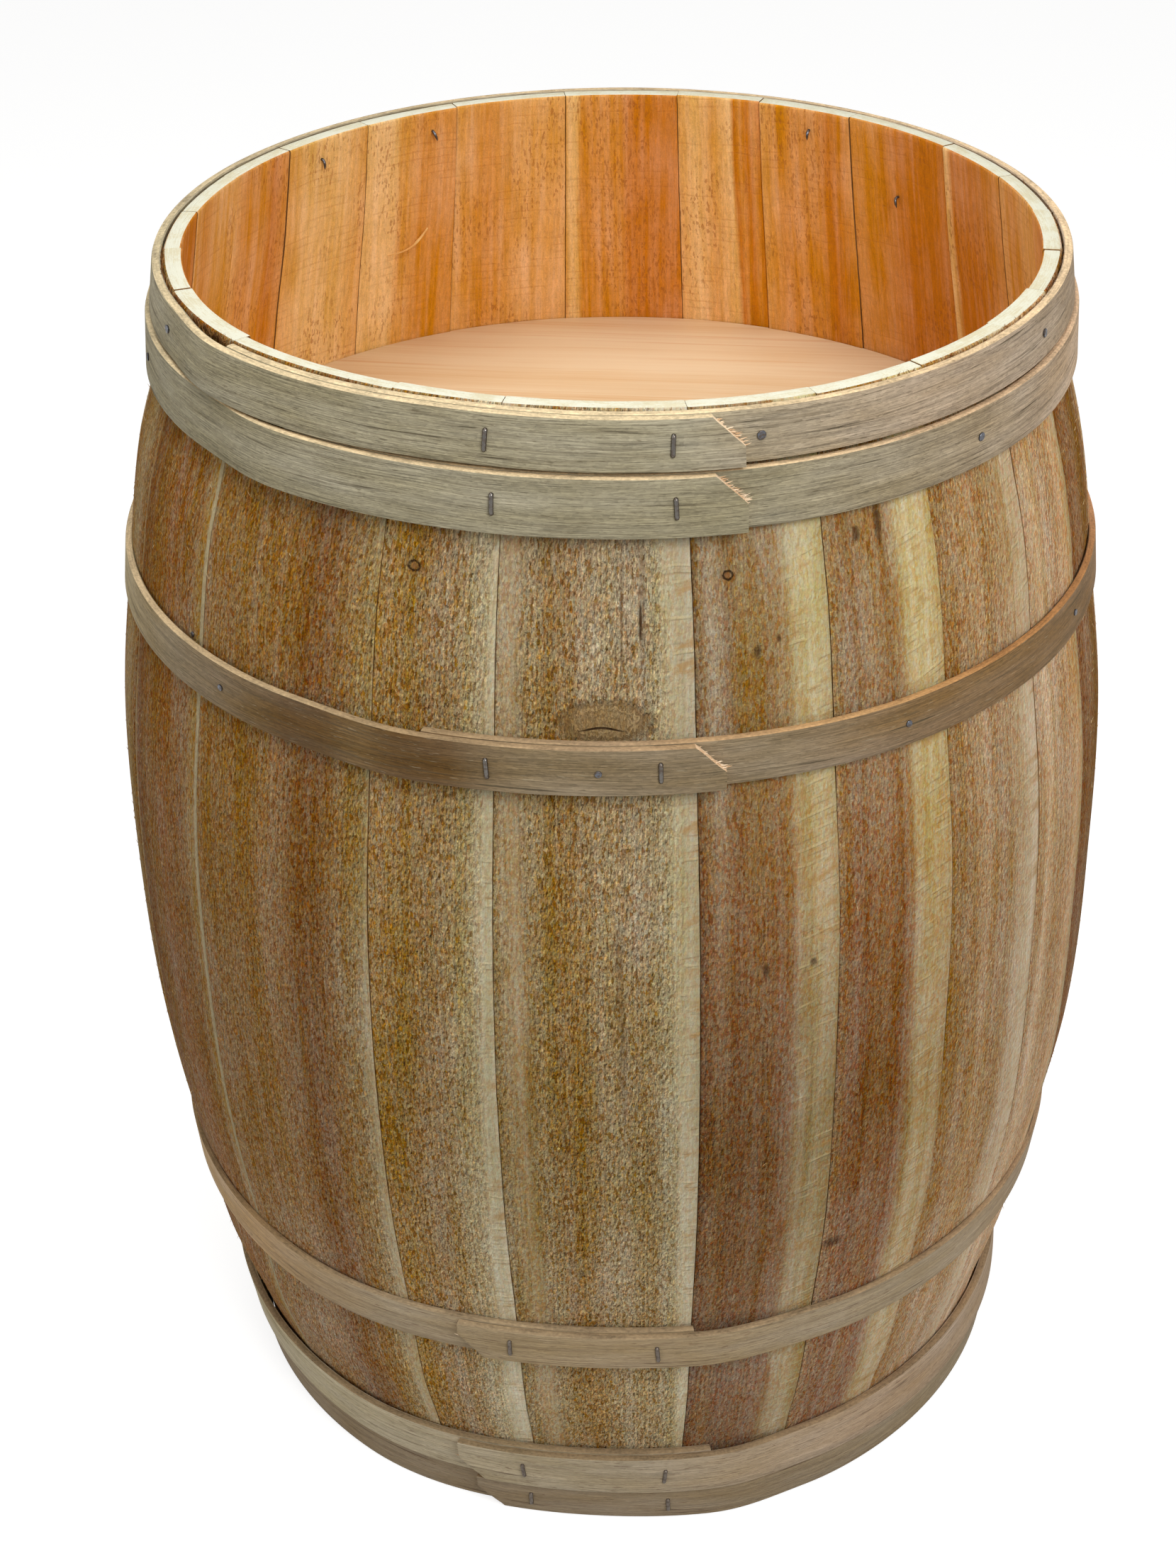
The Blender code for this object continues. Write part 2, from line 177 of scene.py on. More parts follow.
def smooth_curve(places, values):
    """A smooth curve through given points."""
    xs = np.array(places, float)
    ys = np.array(values, float)
    slopes = np.gradient(ys, xs)

    def curve(where):
        at = np.clip(np.searchsorted(xs, where) - 1, 0, len(xs) - 2)
        step = xs[at + 1] - xs[at]
        t = np.clip((where - xs[at]) / step, 0.0, 1.0)
        return (
            (1 + 2 * t) * (1 - t) ** 2 * ys[at]
            + t * (1 - t) ** 2 * step * slopes[at]
            + t * t * (3 - 2 * t) * ys[at + 1]
            + t * t * (t - 1) * step * slopes[at + 1]
        )

    return curve


def profile():
    """Heights and outer radii of the board curve."""
    upper = [(HEIGHT - away, radius) for away, radius in reversed(FROM_END)]
    stations = list(FROM_END) + [(HEIGHT / 2, BILGE_RADIUS)] + upper
    return zip(*stations)


STATION_HEIGHTS, STATION_RADII = profile()
outer_radius = smooth_curve(STATION_HEIGHTS, STATION_RADII)
inner_radius = smooth_curve(STATION_HEIGHTS, INNER_RADII)


def solid_radius(height):
    """Outer radius of the faceted solids, which carry the hoops."""
    return float(np.interp(height, STATION_HEIGHTS, STATION_RADII))


def station_press(azimuth, height):
    """How far in the boards are pressed at one of the stations."""
    heights, *parts = zip(*PRESSES)
    depth, centre, reach = (float(np.interp(height, heights, values)) for values in parts)
    away = np.minimum(np.abs((np.asarray(azimuth) - centre + 180.0) % 360.0 - 180.0) / reach, 1.0)
    return depth * (1 + np.cos(math.pi * away)) / 2


def press(azimuth, height):
    """How far in everything lies at azimuths and one height, from the laps and the bulge."""
    high = int(np.clip(np.searchsorted(STATION_HEIGHTS, height), 1, len(STATION_HEIGHTS) - 1))
    below, above = STATION_HEIGHTS[high - 1], STATION_HEIGHTS[high]
    share = min(max((height - below) / (above - below), 0.0), 1.0)
    bulge = float(np.interp(height, *zip(*BULGES))) * np.sin(np.radians(azimuth))
    return (1 - share) * station_press(azimuth, below) + share * station_press(azimuth, above) + bulge


def polar(radius, azimuth, height):
    """Points from radii before the pressing, azimuths in degrees and one height."""
    angle = np.radians(azimuth)
    radius, angle, height = np.broadcast_arrays(radius - press(azimuth, height), angle, height)
    return np.stack([radius * np.sin(angle), -radius * np.cos(angle), height], axis=-1)


def spot(radius, azimuth, height):
    """One place as a vector, from its radius before the pressing."""
    return Vector(polar(radius, azimuth, height).tolist())


def wander(where, seed, spacing, period=400):
    """Smooth noise between -1 and 1 along a line, which repeats after a period of spacings."""
    knots = np.random.default_rng(seed).uniform(-1, 1, period)
    place = np.asarray(where, float) / spacing
    low = np.floor(place).astype(int)
    t = place - low
    t = t * t * (3 - 2 * t)
    return knots[low % period] * (1 - t) + knots[(low + 1) % period] * t


def add_object(name, data):
    """A new object in the scene."""
    made = bpy.data.objects.new(name, data)
    bpy.context.scene.collection.objects.link(made)
    return made


def add_mesh(name, points, faces, slots, materials, sharp=40, **layers):
    """A piece from points and faces, with a material number for each face."""
    mesh = bpy.data.meshes.new(name)
    mesh.from_pydata(np.asarray(points, float).reshape(-1, 3).tolist(), [], faces)
    for material in materials:
        mesh.materials.append(material)
    mesh.polygons.foreach_set("material_index", np.asarray(slots, np.int32))
    for key, values in layers.items():
        values = np.asarray(values, np.float32)
        kind, part = ("FLOAT_VECTOR", "vector") if values.ndim > 1 else ("FLOAT", "value")
        mesh.attributes.new(key, kind, "POINT").data.foreach_set(part, values.ravel())
    mesh.shade_smooth()
    mesh.set_sharp_from_angle(angle=math.radians(sharp))
    mesh.update()
    return add_object(name, mesh)


def add_small(name, form, material, sharp):
    """A piece of one material from points and faces in one pair."""
    points, faces = form
    return add_mesh(name, points, faces, [0] * len(faces), [material], sharp)


def ring_faces(rings, around):
    """Faces of a closed form from rings of points, with a cap at either end."""
    faces = []
    last = (rings - 1) * around
    for low in range(0, last, around):
        high = low + around
        for step in range(around):
            after = (step + 1) % around
            faces.append((low + step, low + after, high + after, high + step))
    return faces + [tuple(range(around))[::-1], tuple(range(last, last + around))]


def settle(piece, slot, *nodes):
    """Put a piece on the barrel, in place of solids if any are named."""
    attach(piece, "root")
    if nodes:
        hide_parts(*nodes)


class Graph:
    """Builds a node material from expressions."""

    def __init__(self, name, roughness, specular):
        self.material = bpy.data.materials.new(name)
        self.material.use_nodes = True
        self.tree = self.material.node_tree
        self.shader = self.tree.nodes["Principled BSDF"]
        self.shader.inputs["Roughness"].default_value = roughness
        self.shader.inputs["Specular IOR Level"].default_value = specular

    def feed(self, socket, value):
        if isinstance(value, bpy.types.NodeSocket):
            self.tree.links.new(value, socket)
        else:
            socket.default_value = value

    def node(self, kind, values, **settings):
        made = self.tree.nodes.new(kind)
        for key, value in settings.items():
            setattr(made, key, value)
        for key, value in values.items():
            self.feed(made.inputs[key], value)
        return made

    def attribute(self, name, output="Fac"):
        return self.node("ShaderNodeAttribute", {}, attribute_name=name).outputs[output]

    def wood(self):
        """Place in the wood: across or along the grain, as each mesh has it."""
        return self.attribute("wood", "Vector")

    def place(self):
        return self.node("ShaderNodeTexCoord", {}).outputs["Object"]

    def math(self, operation, first, second=0.0):
        return self.node("ShaderNodeMath", {0: first, 1: second}, operation=operation).outputs[0]

    def times(self, first, second):
        return self.math("MULTIPLY", first, second)

    def plus(self, first, second):
        return self.math("ADD", first, second)

    def minus(self, first, second):
        return self.math("SUBTRACT", first, second)

    def wave(self, value, length):
        return self.math("SINE", self.times(value, 2 * math.pi / length))

    def stretch(self, vector, scales):
        return self.node("ShaderNodeVectorMath", {0: vector, 1: scales}, operation="MULTIPLY").outputs[0]

    def shift(self, vector, offset):
        return self.node("ShaderNodeVectorMath", {0: vector, 1: offset}, operation="ADD").outputs[0]

    def bend(self, vector, amount):
        """A place moved along its second axis."""
        return self.shift(vector, self.node("ShaderNodeCombineXYZ", {1: amount}).outputs[0])

    def parts(self, vector):
        return self.node("ShaderNodeSeparateXYZ", {0: vector}).outputs

    def noise(self, vector, scales, detail=2.0, roughness=0.55, distortion=0.0):
        values = {
            "Vector": self.stretch(vector, scales),
            "Scale": 1.0,
            "Detail": detail,
            "Roughness": roughness,
            "Distortion": distortion,
        }
        return self.node("ShaderNodeTexNoise", values).outputs["Fac"]

    def strokes(self, vector, scales):
        """Three random numbers for each of many short ragged strokes that lie along the grain."""
        placed = self.stretch(vector, scales)
        values = {"Vector": placed, "Scale": 0.9, "Detail": 2.0, "Roughness": 0.6}
        shake = self.node("ShaderNodeTexNoise", values).outputs["Color"]
        values = {0: shake, 1: (FRAY, FRAY, 0.0), 2: placed}
        moved = self.node("ShaderNodeVectorMath", values, operation="MULTIPLY_ADD").outputs[0]
        values = {"Vector": moved, "Scale": 1.0, "Randomness": 1.0}
        cells = self.node("ShaderNodeTexVoronoi", values, voronoi_dimensions="3D", feature="F1")
        return self.node("ShaderNodeSeparateColor", {0: cells.outputs["Color"]}).outputs

    def between(self, value, low, high, start=0.0, end=1.0):
        """A smooth step from start to end while the value goes from low to high."""
        values = {"Value": value, "From Min": low, "From Max": high, "To Min": start, "To Max": end}
        return self.node("ShaderNodeMapRange", values, interpolation_type="SMOOTHSTEP").outputs["Result"]

    def mix(self, factor, first, second):
        return self.node("ShaderNodeMix", {0: factor, 6: first, 7: second}, data_type="RGBA").outputs[2]

    def paint(self, colour, share, weight, tone):
        """A colour under a weighted share of a tone."""
        return self.mix(self.times(share, weight), colour, srgb(*tone))

    def ramp(self, factor, stops):
        """A colour ramp from (place, tone) or (place, tone, alpha); the alpha says how torn the wood is."""
        made = self.node("ShaderNodeValToRGB", {"Fac": factor})
        elements = made.color_ramp.elements
        elements.remove(elements[1])
        for index, (place, tone, *alpha) in enumerate(stops):
            element = elements.new(place) if index else elements[0]
            element.position = place
            element.color = (*srgb(*tone)[:3], *(alpha or (1.0,)))
        return made.outputs

    def tint(self, colour, value, saturation=1.0, hue=0.5):
        values = {"Color": colour, "Value": value, "Saturation": saturation, "Hue": hue}
        return self.node("ShaderNodeHueSaturation", values).outputs["Color"]

    def sum(self, *terms):
        """A weighted sum of (socket, weight) pairs."""
        total = None
        for socket, weight in terms:
            part = self.times(socket, weight)
            total = part if total is None else self.plus(total, part)
        return total

    def swing(self, *terms):
        """A weighted sum of noises about their middle value."""
        return self.minus(self.sum(*terms), sum(weight for _, weight in terms) / 2)

    def finish(self, colour, height, distance, strength):
        self.tree.links.new(colour, self.shader.inputs["Base Color"])
        values = {"Height": height, "Distance": distance, "Strength": strength}
        bump = self.node("ShaderNodeBump", values)
        self.tree.links.new(bump.outputs["Normal"], self.shader.inputs["Normal"])
        return self.material


def near(graph, vector, place, radii):
    """Distance from a place on a board, in units of the radii."""
    moved = graph.shift(vector, (-place[0], -place[1], -place[2]))
    scaled = graph.stretch(moved, (1 / radii[0], 1 / radii[1], 0))
    return graph.node("ShaderNodeVectorMath", {0: scaled}, operation="LENGTH").outputs["Value"]


def outside_wood(name, stops, lean, slant, head, foot, rich, edge=0.0, gold=0.0, knots=()):
    """Rough sawn board face. The bands lean, the saw marks slant, the head is painted brighter than the
    foot as painted light and shade and has less or more colour, the right edge may carry a pale
    painted highlight and the head is yellower. Knots are (place, radii, kind)."""
    g = Graph(name, roughness=0.93, specular=0.1)
    wood = g.wood()
    across = g.attribute("across")
    up = g.attribute("up")
    drift = g.noise(wood, (14, 3.2, 3), 3)
    streak = g.noise(wood, (170, 4, 20), 4, 0.6)
    frayed = g.noise(wood, (330, 100, 20), 3, 0.6)
    place = g.sum((across, 1), (up, lean), (drift, 0.12), (streak, 0.05), (frayed, 0.06))
    place = g.minus(place, lean * HEIGHT / 2 + 0.115)
    colour, torn = g.ramp(place, stops)

    # Slow patches, long streaks, fibres and torn strokes, all about their middle value
    cloud = g.noise(wood, (26, 11, 9), 3)
    fibre = g.noise(wood, (1150, 60, 60), 3, 0.65)
    tear = g.noise(wood, (720, 320, 60), 4, 0.72, 0.4)
    # The tear noise shifted right and down; its difference from the tear noise is painted light and shade,
    # bright on the upper left and dark on the lower right of each torn stroke
    beside = g.noise(g.shift(wood, (0.00035, -0.0005, 0)), (720, 320, 60), 4, 0.72, 0.4)
    coarse = g.strokes(wood, (880, 400, 60))
    crisp = g.strokes(g.shift(wood, STROKE_SHIFT), (1700, 760, 90))
    low = g.between(up, 0.33, 0.10)
    rough = g.between(torn, 0.05, 1, 0.30, 1.22)
    rough = g.times(rough, g.between(up, 0.33, 0.12, 1, 1.35))
    side = g.parts(wood)[0]
    weave = g.noise(g.shift(wood, (3.1, 1.7, 0.6)), (90, 16, 9), 3)
    ribs = g.wave(g.sum((side, 1), (weave, 0.0045)), RIB_LENGTH)
    ribs = g.times(ribs, g.between(weave, 0.40, 0.60, 0.15, 1))
    fine = g.swing((fibre, 0.9), (tear, 0.8), (coarse[0], 0.22), (crisp[0], 0.34))
    # Painted highlight and shade beside each torn stroke, from the shifted tear noise
    fine = g.sum((fine, 1), (beside, 3.4), (tear, -3.4), (ribs, 0.13))
    value = g.swing((cloud, 0.6), (streak, 0.7))
    value = g.plus(value, g.times(g.plus(fine, 0.10), rough))
    # Painted light and shade: brighter towards the head, darker towards the foot
    value = g.sum((value, 1), (g.between(up, 0.28, 0.57, foot + 0.04, head), 1), (low, 0.40))
    saturation = g.swing((streak, 0.7), (cloud, 0.6), (coarse[1], 0.35))
    saturation = g.minus(g.between(up, 0.40, 0.58, 0.99, rich), saturation)
    saturation = g.sum((saturation, 1), (low, -0.11))
    hue = g.swing((coarse[1], 0.030), (crisp[1], 0.034))
    hue = g.plus(hue, g.between(up, 0.40, 0.58, 0.5, 0.5 + gold))
    colour = g.tint(colour, value, saturation, hue)

    # A pale line along the right edge: a painted highlight of the eased edge
    if edge:
        pale = g.times(g.between(across, 1 - edge, 1 - 0.6 * edge), 0.75)
        colour = g.mix(pale, colour, srgb(*PALE))

    # Torn fibres: dark pits below, painted as shade under the fibres, and pale golden sliver flecks on top,
    # paler fibres that also carry a painted highlight
    pits = g.math("MAXIMUM", g.between(coarse[1], 0.16, 0.08), g.between(crisp[1], 0.24, 0.12))
    pits = g.times(pits, g.between(torn, 0.1, 1, 0.05, 0.66))
    colour = g.mix(pits, colour, g.tint(colour, 0.43, 1.35))
    lit_slivers = g.math("MAXIMUM", g.between(coarse[2], 0.90, 0.96), g.between(crisp[2], 0.80, 0.90))
    lit_slivers = g.times(lit_slivers, g.between(torn, 0.1, 1, 0.05, 0.62))
    colour = g.mix(lit_slivers, colour, g.tint(colour, 1.55, 1.12))

    # Saw marks show where the face is smooth; their ridges get a painted highlight and their furrows
    # painted shadow
    wavy = g.sum((up, 1), (across, -0.07 * slant), (drift, 0.012), (cloud, 0.004))
    saw = g.wave(wavy, SAW_LENGTH)
    broken = g.between(g.noise(g.shift(wood, SAW_SHIFT), (70, 110, 9), 3), 0.46, 0.66)
    marks = g.times(g.between(torn, 0.45, 0.12), broken)
    lit_saw_ridge = g.times(g.between(saw, 0.70, 0.99), marks)
    shaded_saw_furrow = g.times(g.between(saw, -0.86, -1), marks)
    colour = g.paint(colour, lit_saw_ridge, 0.30, (216, 198, 150))
    colour = g.paint(colour, shaded_saw_furrow, 0.36, (140, 104, 62))
    smear = g.bend(wood, g.times(side, -0.3))
    blotch = g.between(g.noise(g.shift(smear, (4.7, 3.3, 2.1)), (44, 120, 20), 4, 0.6), 0.52, 0.68)
    colour = g.paint(colour, g.times(blotch, g.between(torn, 0.3, 0.08)), 0.62, (168, 124, 64))

    height = g.sum((tear, 1.3), (coarse[0], 0.34), (crisp[0], 0.26),
                   (lit_slivers, 0.4), (pits, -0.6), (fibre, 0.4))
    height = g.times(height, g.between(torn, 0.05, 0.9, 0.20, 1))
    height = g.plus(height, g.sum((lit_saw_ridge, 0.22), (shaded_saw_furrow, -0.12)))
    for knot in knots:
        colour, height = add_knot(g, wood, colour, height, tear, *knot)
    return g.finish(colour, height, 0.0017, 1)


def add_knot(g, wood, colour, height, tear, place, radii, kind):
    """Paint one knot, crack or torn spot over a board face."""
    wide, tall = radii
    away = near(g, wood, place, radii)
    away = g.plus(away, g.times(g.minus(tear, 0.5), 0.9))
    if kind == "ring":
        rim = g.times(g.between(away, 0.62, 0.92), g.between(away, 1.28, 1))
        rim = g.times(rim, g.between(tear, 0.62, 0.48, 0.35, 1))
        colour = g.paint(colour, g.between(away, 2.2, 1), 0.30, (132, 94, 52))
        colour = g.paint(colour, g.between(away, 0.9, 0.3), 0.6, (150, 100, 58))
        return g.paint(colour, rim, 0.92, (56, 32, 15)), g.minus(height, g.times(rim, 0.8))
    if kind == "eye":
        halo = g.between(away, 1.2, 0.75)
        edge = g.times(g.between(away, 0.70, 0.92), g.between(away, 1.16, 0.98))
        colour = g.paint(colour, halo, 0.70, (172, 140, 92))
        rings = g.math("SINE", g.times(away, 24))
        rings = g.times(g.between(rings, 0.2, 1), halo)
        colour = g.paint(colour, rings, 0.22, (124, 92, 50))
        colour = g.paint(colour, edge, 0.30, (118, 86, 48))
        return colour, g.sum((height, 1), (edge, -0.5), (rings, -0.4))
    if kind == "crack":
        # A crack that is wider than tall is curved
        across, rise = g.parts(g.shift(wood, [-part for part in place]))[:2]
        if wide > tall:
            curve = g.math("COSINE", g.times(across, 0.9 * math.pi / wide))
            rise = g.minus(rise, g.times(curve, 1.5 * tall))
        rise = g.math("DIVIDE", rise, tall)
        reach = g.math("DIVIDE", across, wide)
        square = g.sum((g.times(rise, rise), 1), (g.times(reach, reach), 1))
        crack = g.between(square, 1.2, 0.3)
        return g.paint(colour, crack, 0.9, (58, 36, 18)), g.minus(height, g.times(crack, 1.2))
    if kind == "stain":
        return g.paint(colour, g.between(away, 1.2, 0.1), 0.42, (98, 68, 38)), height
    dot = g.between(away, 1.25, 0.2)
    return g.paint(colour, dot, 0.75, (76, 46, 26)), g.minus(height, g.times(dot, 0.8))


def inside_wood(name, stops):
    """Smoother warm face that looks into the barrel."""
    g = Graph(name, roughness=0.80, specular=0.2)
    wood = g.wood()
    across = g.attribute("across")
    up = g.attribute("up")
    drift = g.noise(wood, (16, 4, 3), 3)
    streak = g.noise(wood, (210, 7, 20), 4, 0.6)
    place = g.minus(g.sum((across, 1), (drift, 0.12), (streak, 0.05)), 0.085)
    colour = g.ramp(place, stops)[0]
    cloud = g.noise(wood, (30, 16, 9), 3)
    fibre = g.noise(wood, (1200, 60, 60), 3, 0.6)
    tear = g.noise(wood, (560, 150, 60), 4, 0.68)
    stroke = g.strokes(g.shift(wood, STROKE_SHIFT), (1150, 430, 60))
    grit = g.noise(wood, (1700, 1300, 300), 1)
    value = g.swing((cloud, 0.45), (streak, 0.5), (fibre, 0.40),
                    (tear, 0.65), (stroke[0], 0.06), (grit, 0.4))
    colour = g.tint(colour, g.plus(value, 1.02), g.minus(1, g.swing((streak, 0.5), (cloud, 0.4))))
    patch = g.between(g.noise(wood, (26, 11, 9), 2), 0.44, 0.60)
    pits = g.times(g.between(stroke[1], 0.20, 0.10), g.between(patch, 0, 1, 0.08, 0.5))
    colour = g.mix(pits, colour, srgb(150, 84, 30))
    saw = g.wave(g.sum((up, 1), (drift, 0.008)), INNER_SAW_LENGTH)
    broken = g.between(g.noise(g.shift(wood, SAW_SHIFT), (40, 80, 9), 2), 0.44, 0.60)
    saw = g.times(g.between(saw, 0.6, 1), broken)
    colour = g.paint(colour, saw, 0.20, (172, 104, 44))
    height = g.sum((tear, 1), (stroke[0], 0.12), (pits, -0.6), (fibre, 0.4), (grit, 0.3), (saw, -0.15))
    return g.finish(colour, height, 0.0006, 0.8)


def edge_wood(name, stops):
    """Long cut edge of a strip with fine pores and layer lines. Stops go round by azimuth."""
    g = Graph(name, roughness=0.85, specular=0.2)
    wood = g.wood()
    tone = g.ramp(g.math("FRACT", g.attribute("turn")), stops)[0]
    cloud = g.noise(wood, (40, 60, 60), 3)
    pores = g.noise(wood, (500, 1200, 1200), 2)
    lines = g.noise(wood, (60, 400, 1500), 2)
    value = g.plus(g.swing((cloud, 0.8), (pores, 1.1), (lines, 0.9)), 0.97)
    return g.finish(g.tint(tone, value), g.sum((pores, 0.6), (lines, 1)), 0.0005, 0.7)


def end_wood(name, tone, deep):
    """Cut end of a board, pale with fine pores and layer lines."""
    g = Graph(name, roughness=0.85, specular=0.2)
    wood = g.wood()
    cloud = g.noise(wood, (60, 60, 60), 3)
    pores = g.noise(wood, (900, 900, 900), 2)
    lines = g.noise(wood, (90, 90, 1500), 2)
    share = g.swing((cloud, 1.6), (lines, 1.3), (pores, 0.9))
    colour = g.mix(g.between(share, -0.18, 0.34), srgb(*tone), srgb(*deep))
    return g.finish(colour, g.sum((pores, 0.6), (lines, 1)), 0.0005, 0.7)


def joint_wood():
    """Sawn sides of the boards, seen only in the joints."""
    g = Graph("wood_joint", roughness=0.95, specular=0.1)
    grain = g.noise(g.wood(), (60, 12, 500), 3)
    colour = g.mix(g.between(grain, 0.3, 0.7), srgb(112, 80, 46), srgb(150, 114, 70))
    return g.finish(colour, grain, 0.0004, 0.6)


# Outside of each kind of board: (place across, tone, how torn), the lean of its bands, the slant of
# its saw marks, how bright its head and its foot are painted (painted light at the head, painted
# shade at the foot), how rich in colour its head is, how wide the painted highlight along its right
# edge is and how much yellower its head is
OUTSIDE = {
    "front": (
        ((0.0, (158, 132, 88), 0.8), (0.06, (166, 140, 97), 0.5), (0.13, (166, 141, 98), 0.3),
         (0.19, (164, 137, 93), 0.7), (0.22, (166, 139, 93), 1.0), (0.32, OCHRE, 1.0),
         (0.40, (162, 129, 80), 1.0), (0.49, (168, 140, 97), 1.0), (0.58, (174, 149, 107), 1.0),
         (0.66, (172, 146, 104), 1.0), (0.76, (168, 142, 100), 0.95), (0.84, (178, 158, 117), 0.8),
         (0.90, (184, 167, 128), 0.35), (0.94, (180, 165, 130), 0.12), (1.0, (174, 159, 126), 0.06)),
        0.2, 0.10, 1.05, 0.85, 0.87),
    "banded": (
        ((0.0, (120, 84, 52), 0.7), (0.05, (140, 102, 66), 0.6), (0.14, (149, 114, 77), 0.5),
         (0.25, (138, 99, 63), 0.55), (0.36, (144, 107, 70), 0.5), (0.48, (144, 106, 69), 0.5),
         (0.58, (145, 106, 69), 0.45), (0.65, (150, 114, 77), 0.35), (0.72, (165, 139, 98), 0.2),
         (0.84, (175, 152, 110), 0.14), (0.93, (168, 144, 99), 0.12), (1.0, (158, 132, 86), 0.15)),
        0.03, 0.25, 1.23, 0.66, 0.86, 0.0, 0.018),
    "streaked": (
        ((0.0, (160, 124, 86), 0.6), (0.08, (150, 110, 72), 0.55), (0.22, (143, 101, 64), 0.55),
         (0.33, (152, 112, 74), 0.5), (0.44, (149, 107, 68), 0.5), (0.53, (143, 99, 60), 0.5),
         (0.61, (156, 118, 78), 0.35), (0.68, (174, 147, 101), 0.2), (0.78, (181, 155, 107), 0.12),
         (0.90, (178, 150, 101), 0.15), (1.0, (172, 141, 94), 0.2)),
        0.10, 0.25, 1.19, 0.77, 0.92, 0.0, 0.016),
    "sandy": (
        ((0.0, (150, 112, 60), 0.5), (0.08, (160, 124, 80), 0.6), (0.20, (168, 134, 94), 0.6),
         (0.40, (180, 146, 106), 0.5), (0.55, (172, 139, 101), 0.6), (0.75, (180, 151, 114), 0.4),
         (0.90, (192, 170, 138), 0.2), (1.0, (194, 173, 144), 0.1)),
        0.1, 0.25, 1.06, 0.99, 1.06),
    "pinkish": (
        ((0.0, (180, 146, 108), 0.5), (0.20, (210, 177, 138), 0.4), (0.32, PEACH, 0.5),
         (0.55, (192, 153, 110), 0.6), (0.85, (206, 166, 120), 0.4), (1.0, CREAM, 0.2)),
        0.05, 0.2, 1.07, 0.92, 1.0),
    "orange": (
        ((0.0, RUSSET, 0.8), (0.35, CLAY, 0.8), (0.7, BROWN, 0.8), (1.0, CLAY, 0.7)),
        0.0, 0.1, 1.04, 0.86, 1.06),
    "grey": (
        ((0.0, (162, 124, 62), 0.9), (0.15, (158, 120, 59), 1.0), (0.25, (156, 121, 65), 1.0),
         (0.35, (158, 124, 74), 1.0), (0.45, (160, 128, 82), 1.0), (0.58, (161, 130, 84), 0.95),
         (0.64, (170, 143, 101), 0.9), (0.72, (177, 155, 113), 0.8), (0.80, (182, 162, 122), 0.7),
         (0.87, (184, 166, 128), 0.5), (0.91, (184, 171, 137), 0.2), (1.0, (186, 173, 141), 0.1)),
        -0.3, 0.1, 1.04, 0.89, 0.91),
    "wide": (
        ((0.0, LOAM, 0.6), (0.20, LOAM, 0.7), (0.34, LOAM, 0.7), (0.46, (155, 119, 76), 0.7),
         (0.55, (146, 110, 68), 0.7), (0.63, (134, 95, 56), 0.7), (0.73, (137, 99, 59), 0.75),
         (0.84, (150, 115, 68), 0.8), (0.93, TAN, 0.8), (0.97, SAND, 0.4), (1.0, SAND, 0.2)),
        -0.1, 0.1, 1.03, 0.97, 1.04),
    "dark": (
        ((0.0, TAN, 0.2), (0.05, UMBER, 0.6), (0.3, BROWN, 0.7), (0.55, (152, 108, 66), 0.7),
         (0.85, BROWN, 0.7), (0.94, OCHRE, 0.5), (1.0, OCHRE, 0.4)),
        0.0, 0.1, 1.04, 0.95, 1.05, 0.04),
    "plain": (
        ((0.0, TAN, 0.6), (0.25, BROWN, 0.8), (0.5, OCHRE, 0.7), (0.75, TAN, 0.6), (1.0, BROWN, 0.7)),
        0.1, 0.2, 1.04, 0.9, 1.0),
}

# Inside of each board, from its right edge to its left edge as seen from the front
INSIDE = {
    "honey": ((0.0, AMBER), (0.3, HONEY), (0.7, HONEY), (1.0, AMBER)),
    "half": ((0.0, COPPER), (0.35, COPPER), (0.52, AMBER), (0.58, AMBER), (0.64, HONEY), (1.0, HONEY)),
    "amber": ((0.0, AMBER), (0.4, AMBER), (0.7, COPPER), (1.0, AMBER)),
    "deep": (
        (0.0, RUST), (0.45, RUST), (0.52, COPPER), (0.85, COPPER), (0.90, HONEY), (0.97, HONEY),
        (1.0, AMBER)),
    "striped": (
        (0.0, RUST), (0.08, COPPER), (0.15, RUST), (0.24, COPPER), (0.30, RUST), (0.36, HONEY),
        (0.6, AMBER), (0.8, HONEY), (1.0, AMBER)),
    "copper": ((0.0, COPPER), (0.25, RUST), (0.4, COPPER), (0.8, COPPER), (1.0, AMBER)),
    "rust": ((0.0, RUST), (0.5, RUST), (0.8, COPPER), (1.0, COPPER)),
    "edged": ((0.0, COPPER), (0.5, RUST), (0.86, RUST), (0.94, HONEY), (1.0, HONEY)),
}

# Board by board: outside, inside, outer step and inner step in millimetres
BOARDS = {
    1: ("banded", "rust", 0.05, 0.0),
    2: ("streaked", "copper", 0.1, 0.2),
    3: ("sandy", "amber", -0.15, 0.0),
    4: ("pinkish", "honey", 0.0, 1.2),
    5: ("orange", "copper", -0.25, 0.4),
    6: ("pinkish", "rust", -0.1, 1.0),
    7: ("plain", "amber", -0.2, 0.3),
    8: ("sandy", "edged", 0.0, 0.6),
    9: ("banded", "rust", -0.2, 0.2),
    10: ("dark", "copper", 0.0, 0.9),
    11: ("grey", "striped", -0.3, 0.1),
    12: ("streaked", "deep", 0.0, 0.4),
    13: ("wide", "amber", -0.2, 0.0),
    14: ("front", "half", -0.1, 0.7),
    15: ("orange", "honey", -0.2, 0.7),
    16: ("plain", "copper", 0.0, 0.1),
    17: ("banded", "amber", -0.2, 0.4),
    18: ("sandy", "rust", -0.1, 0.0),
    19: ("plain", "copper", 0.0, 0.8),
    20: ("dark", "amber", -0.15, 1.6),
    21: ("wide", "copper", 0.1, -0.6),
    22: ("grey", "amber", -0.1, -0.2),
    23: ("front", "honey", 0.1, 0.1),
}

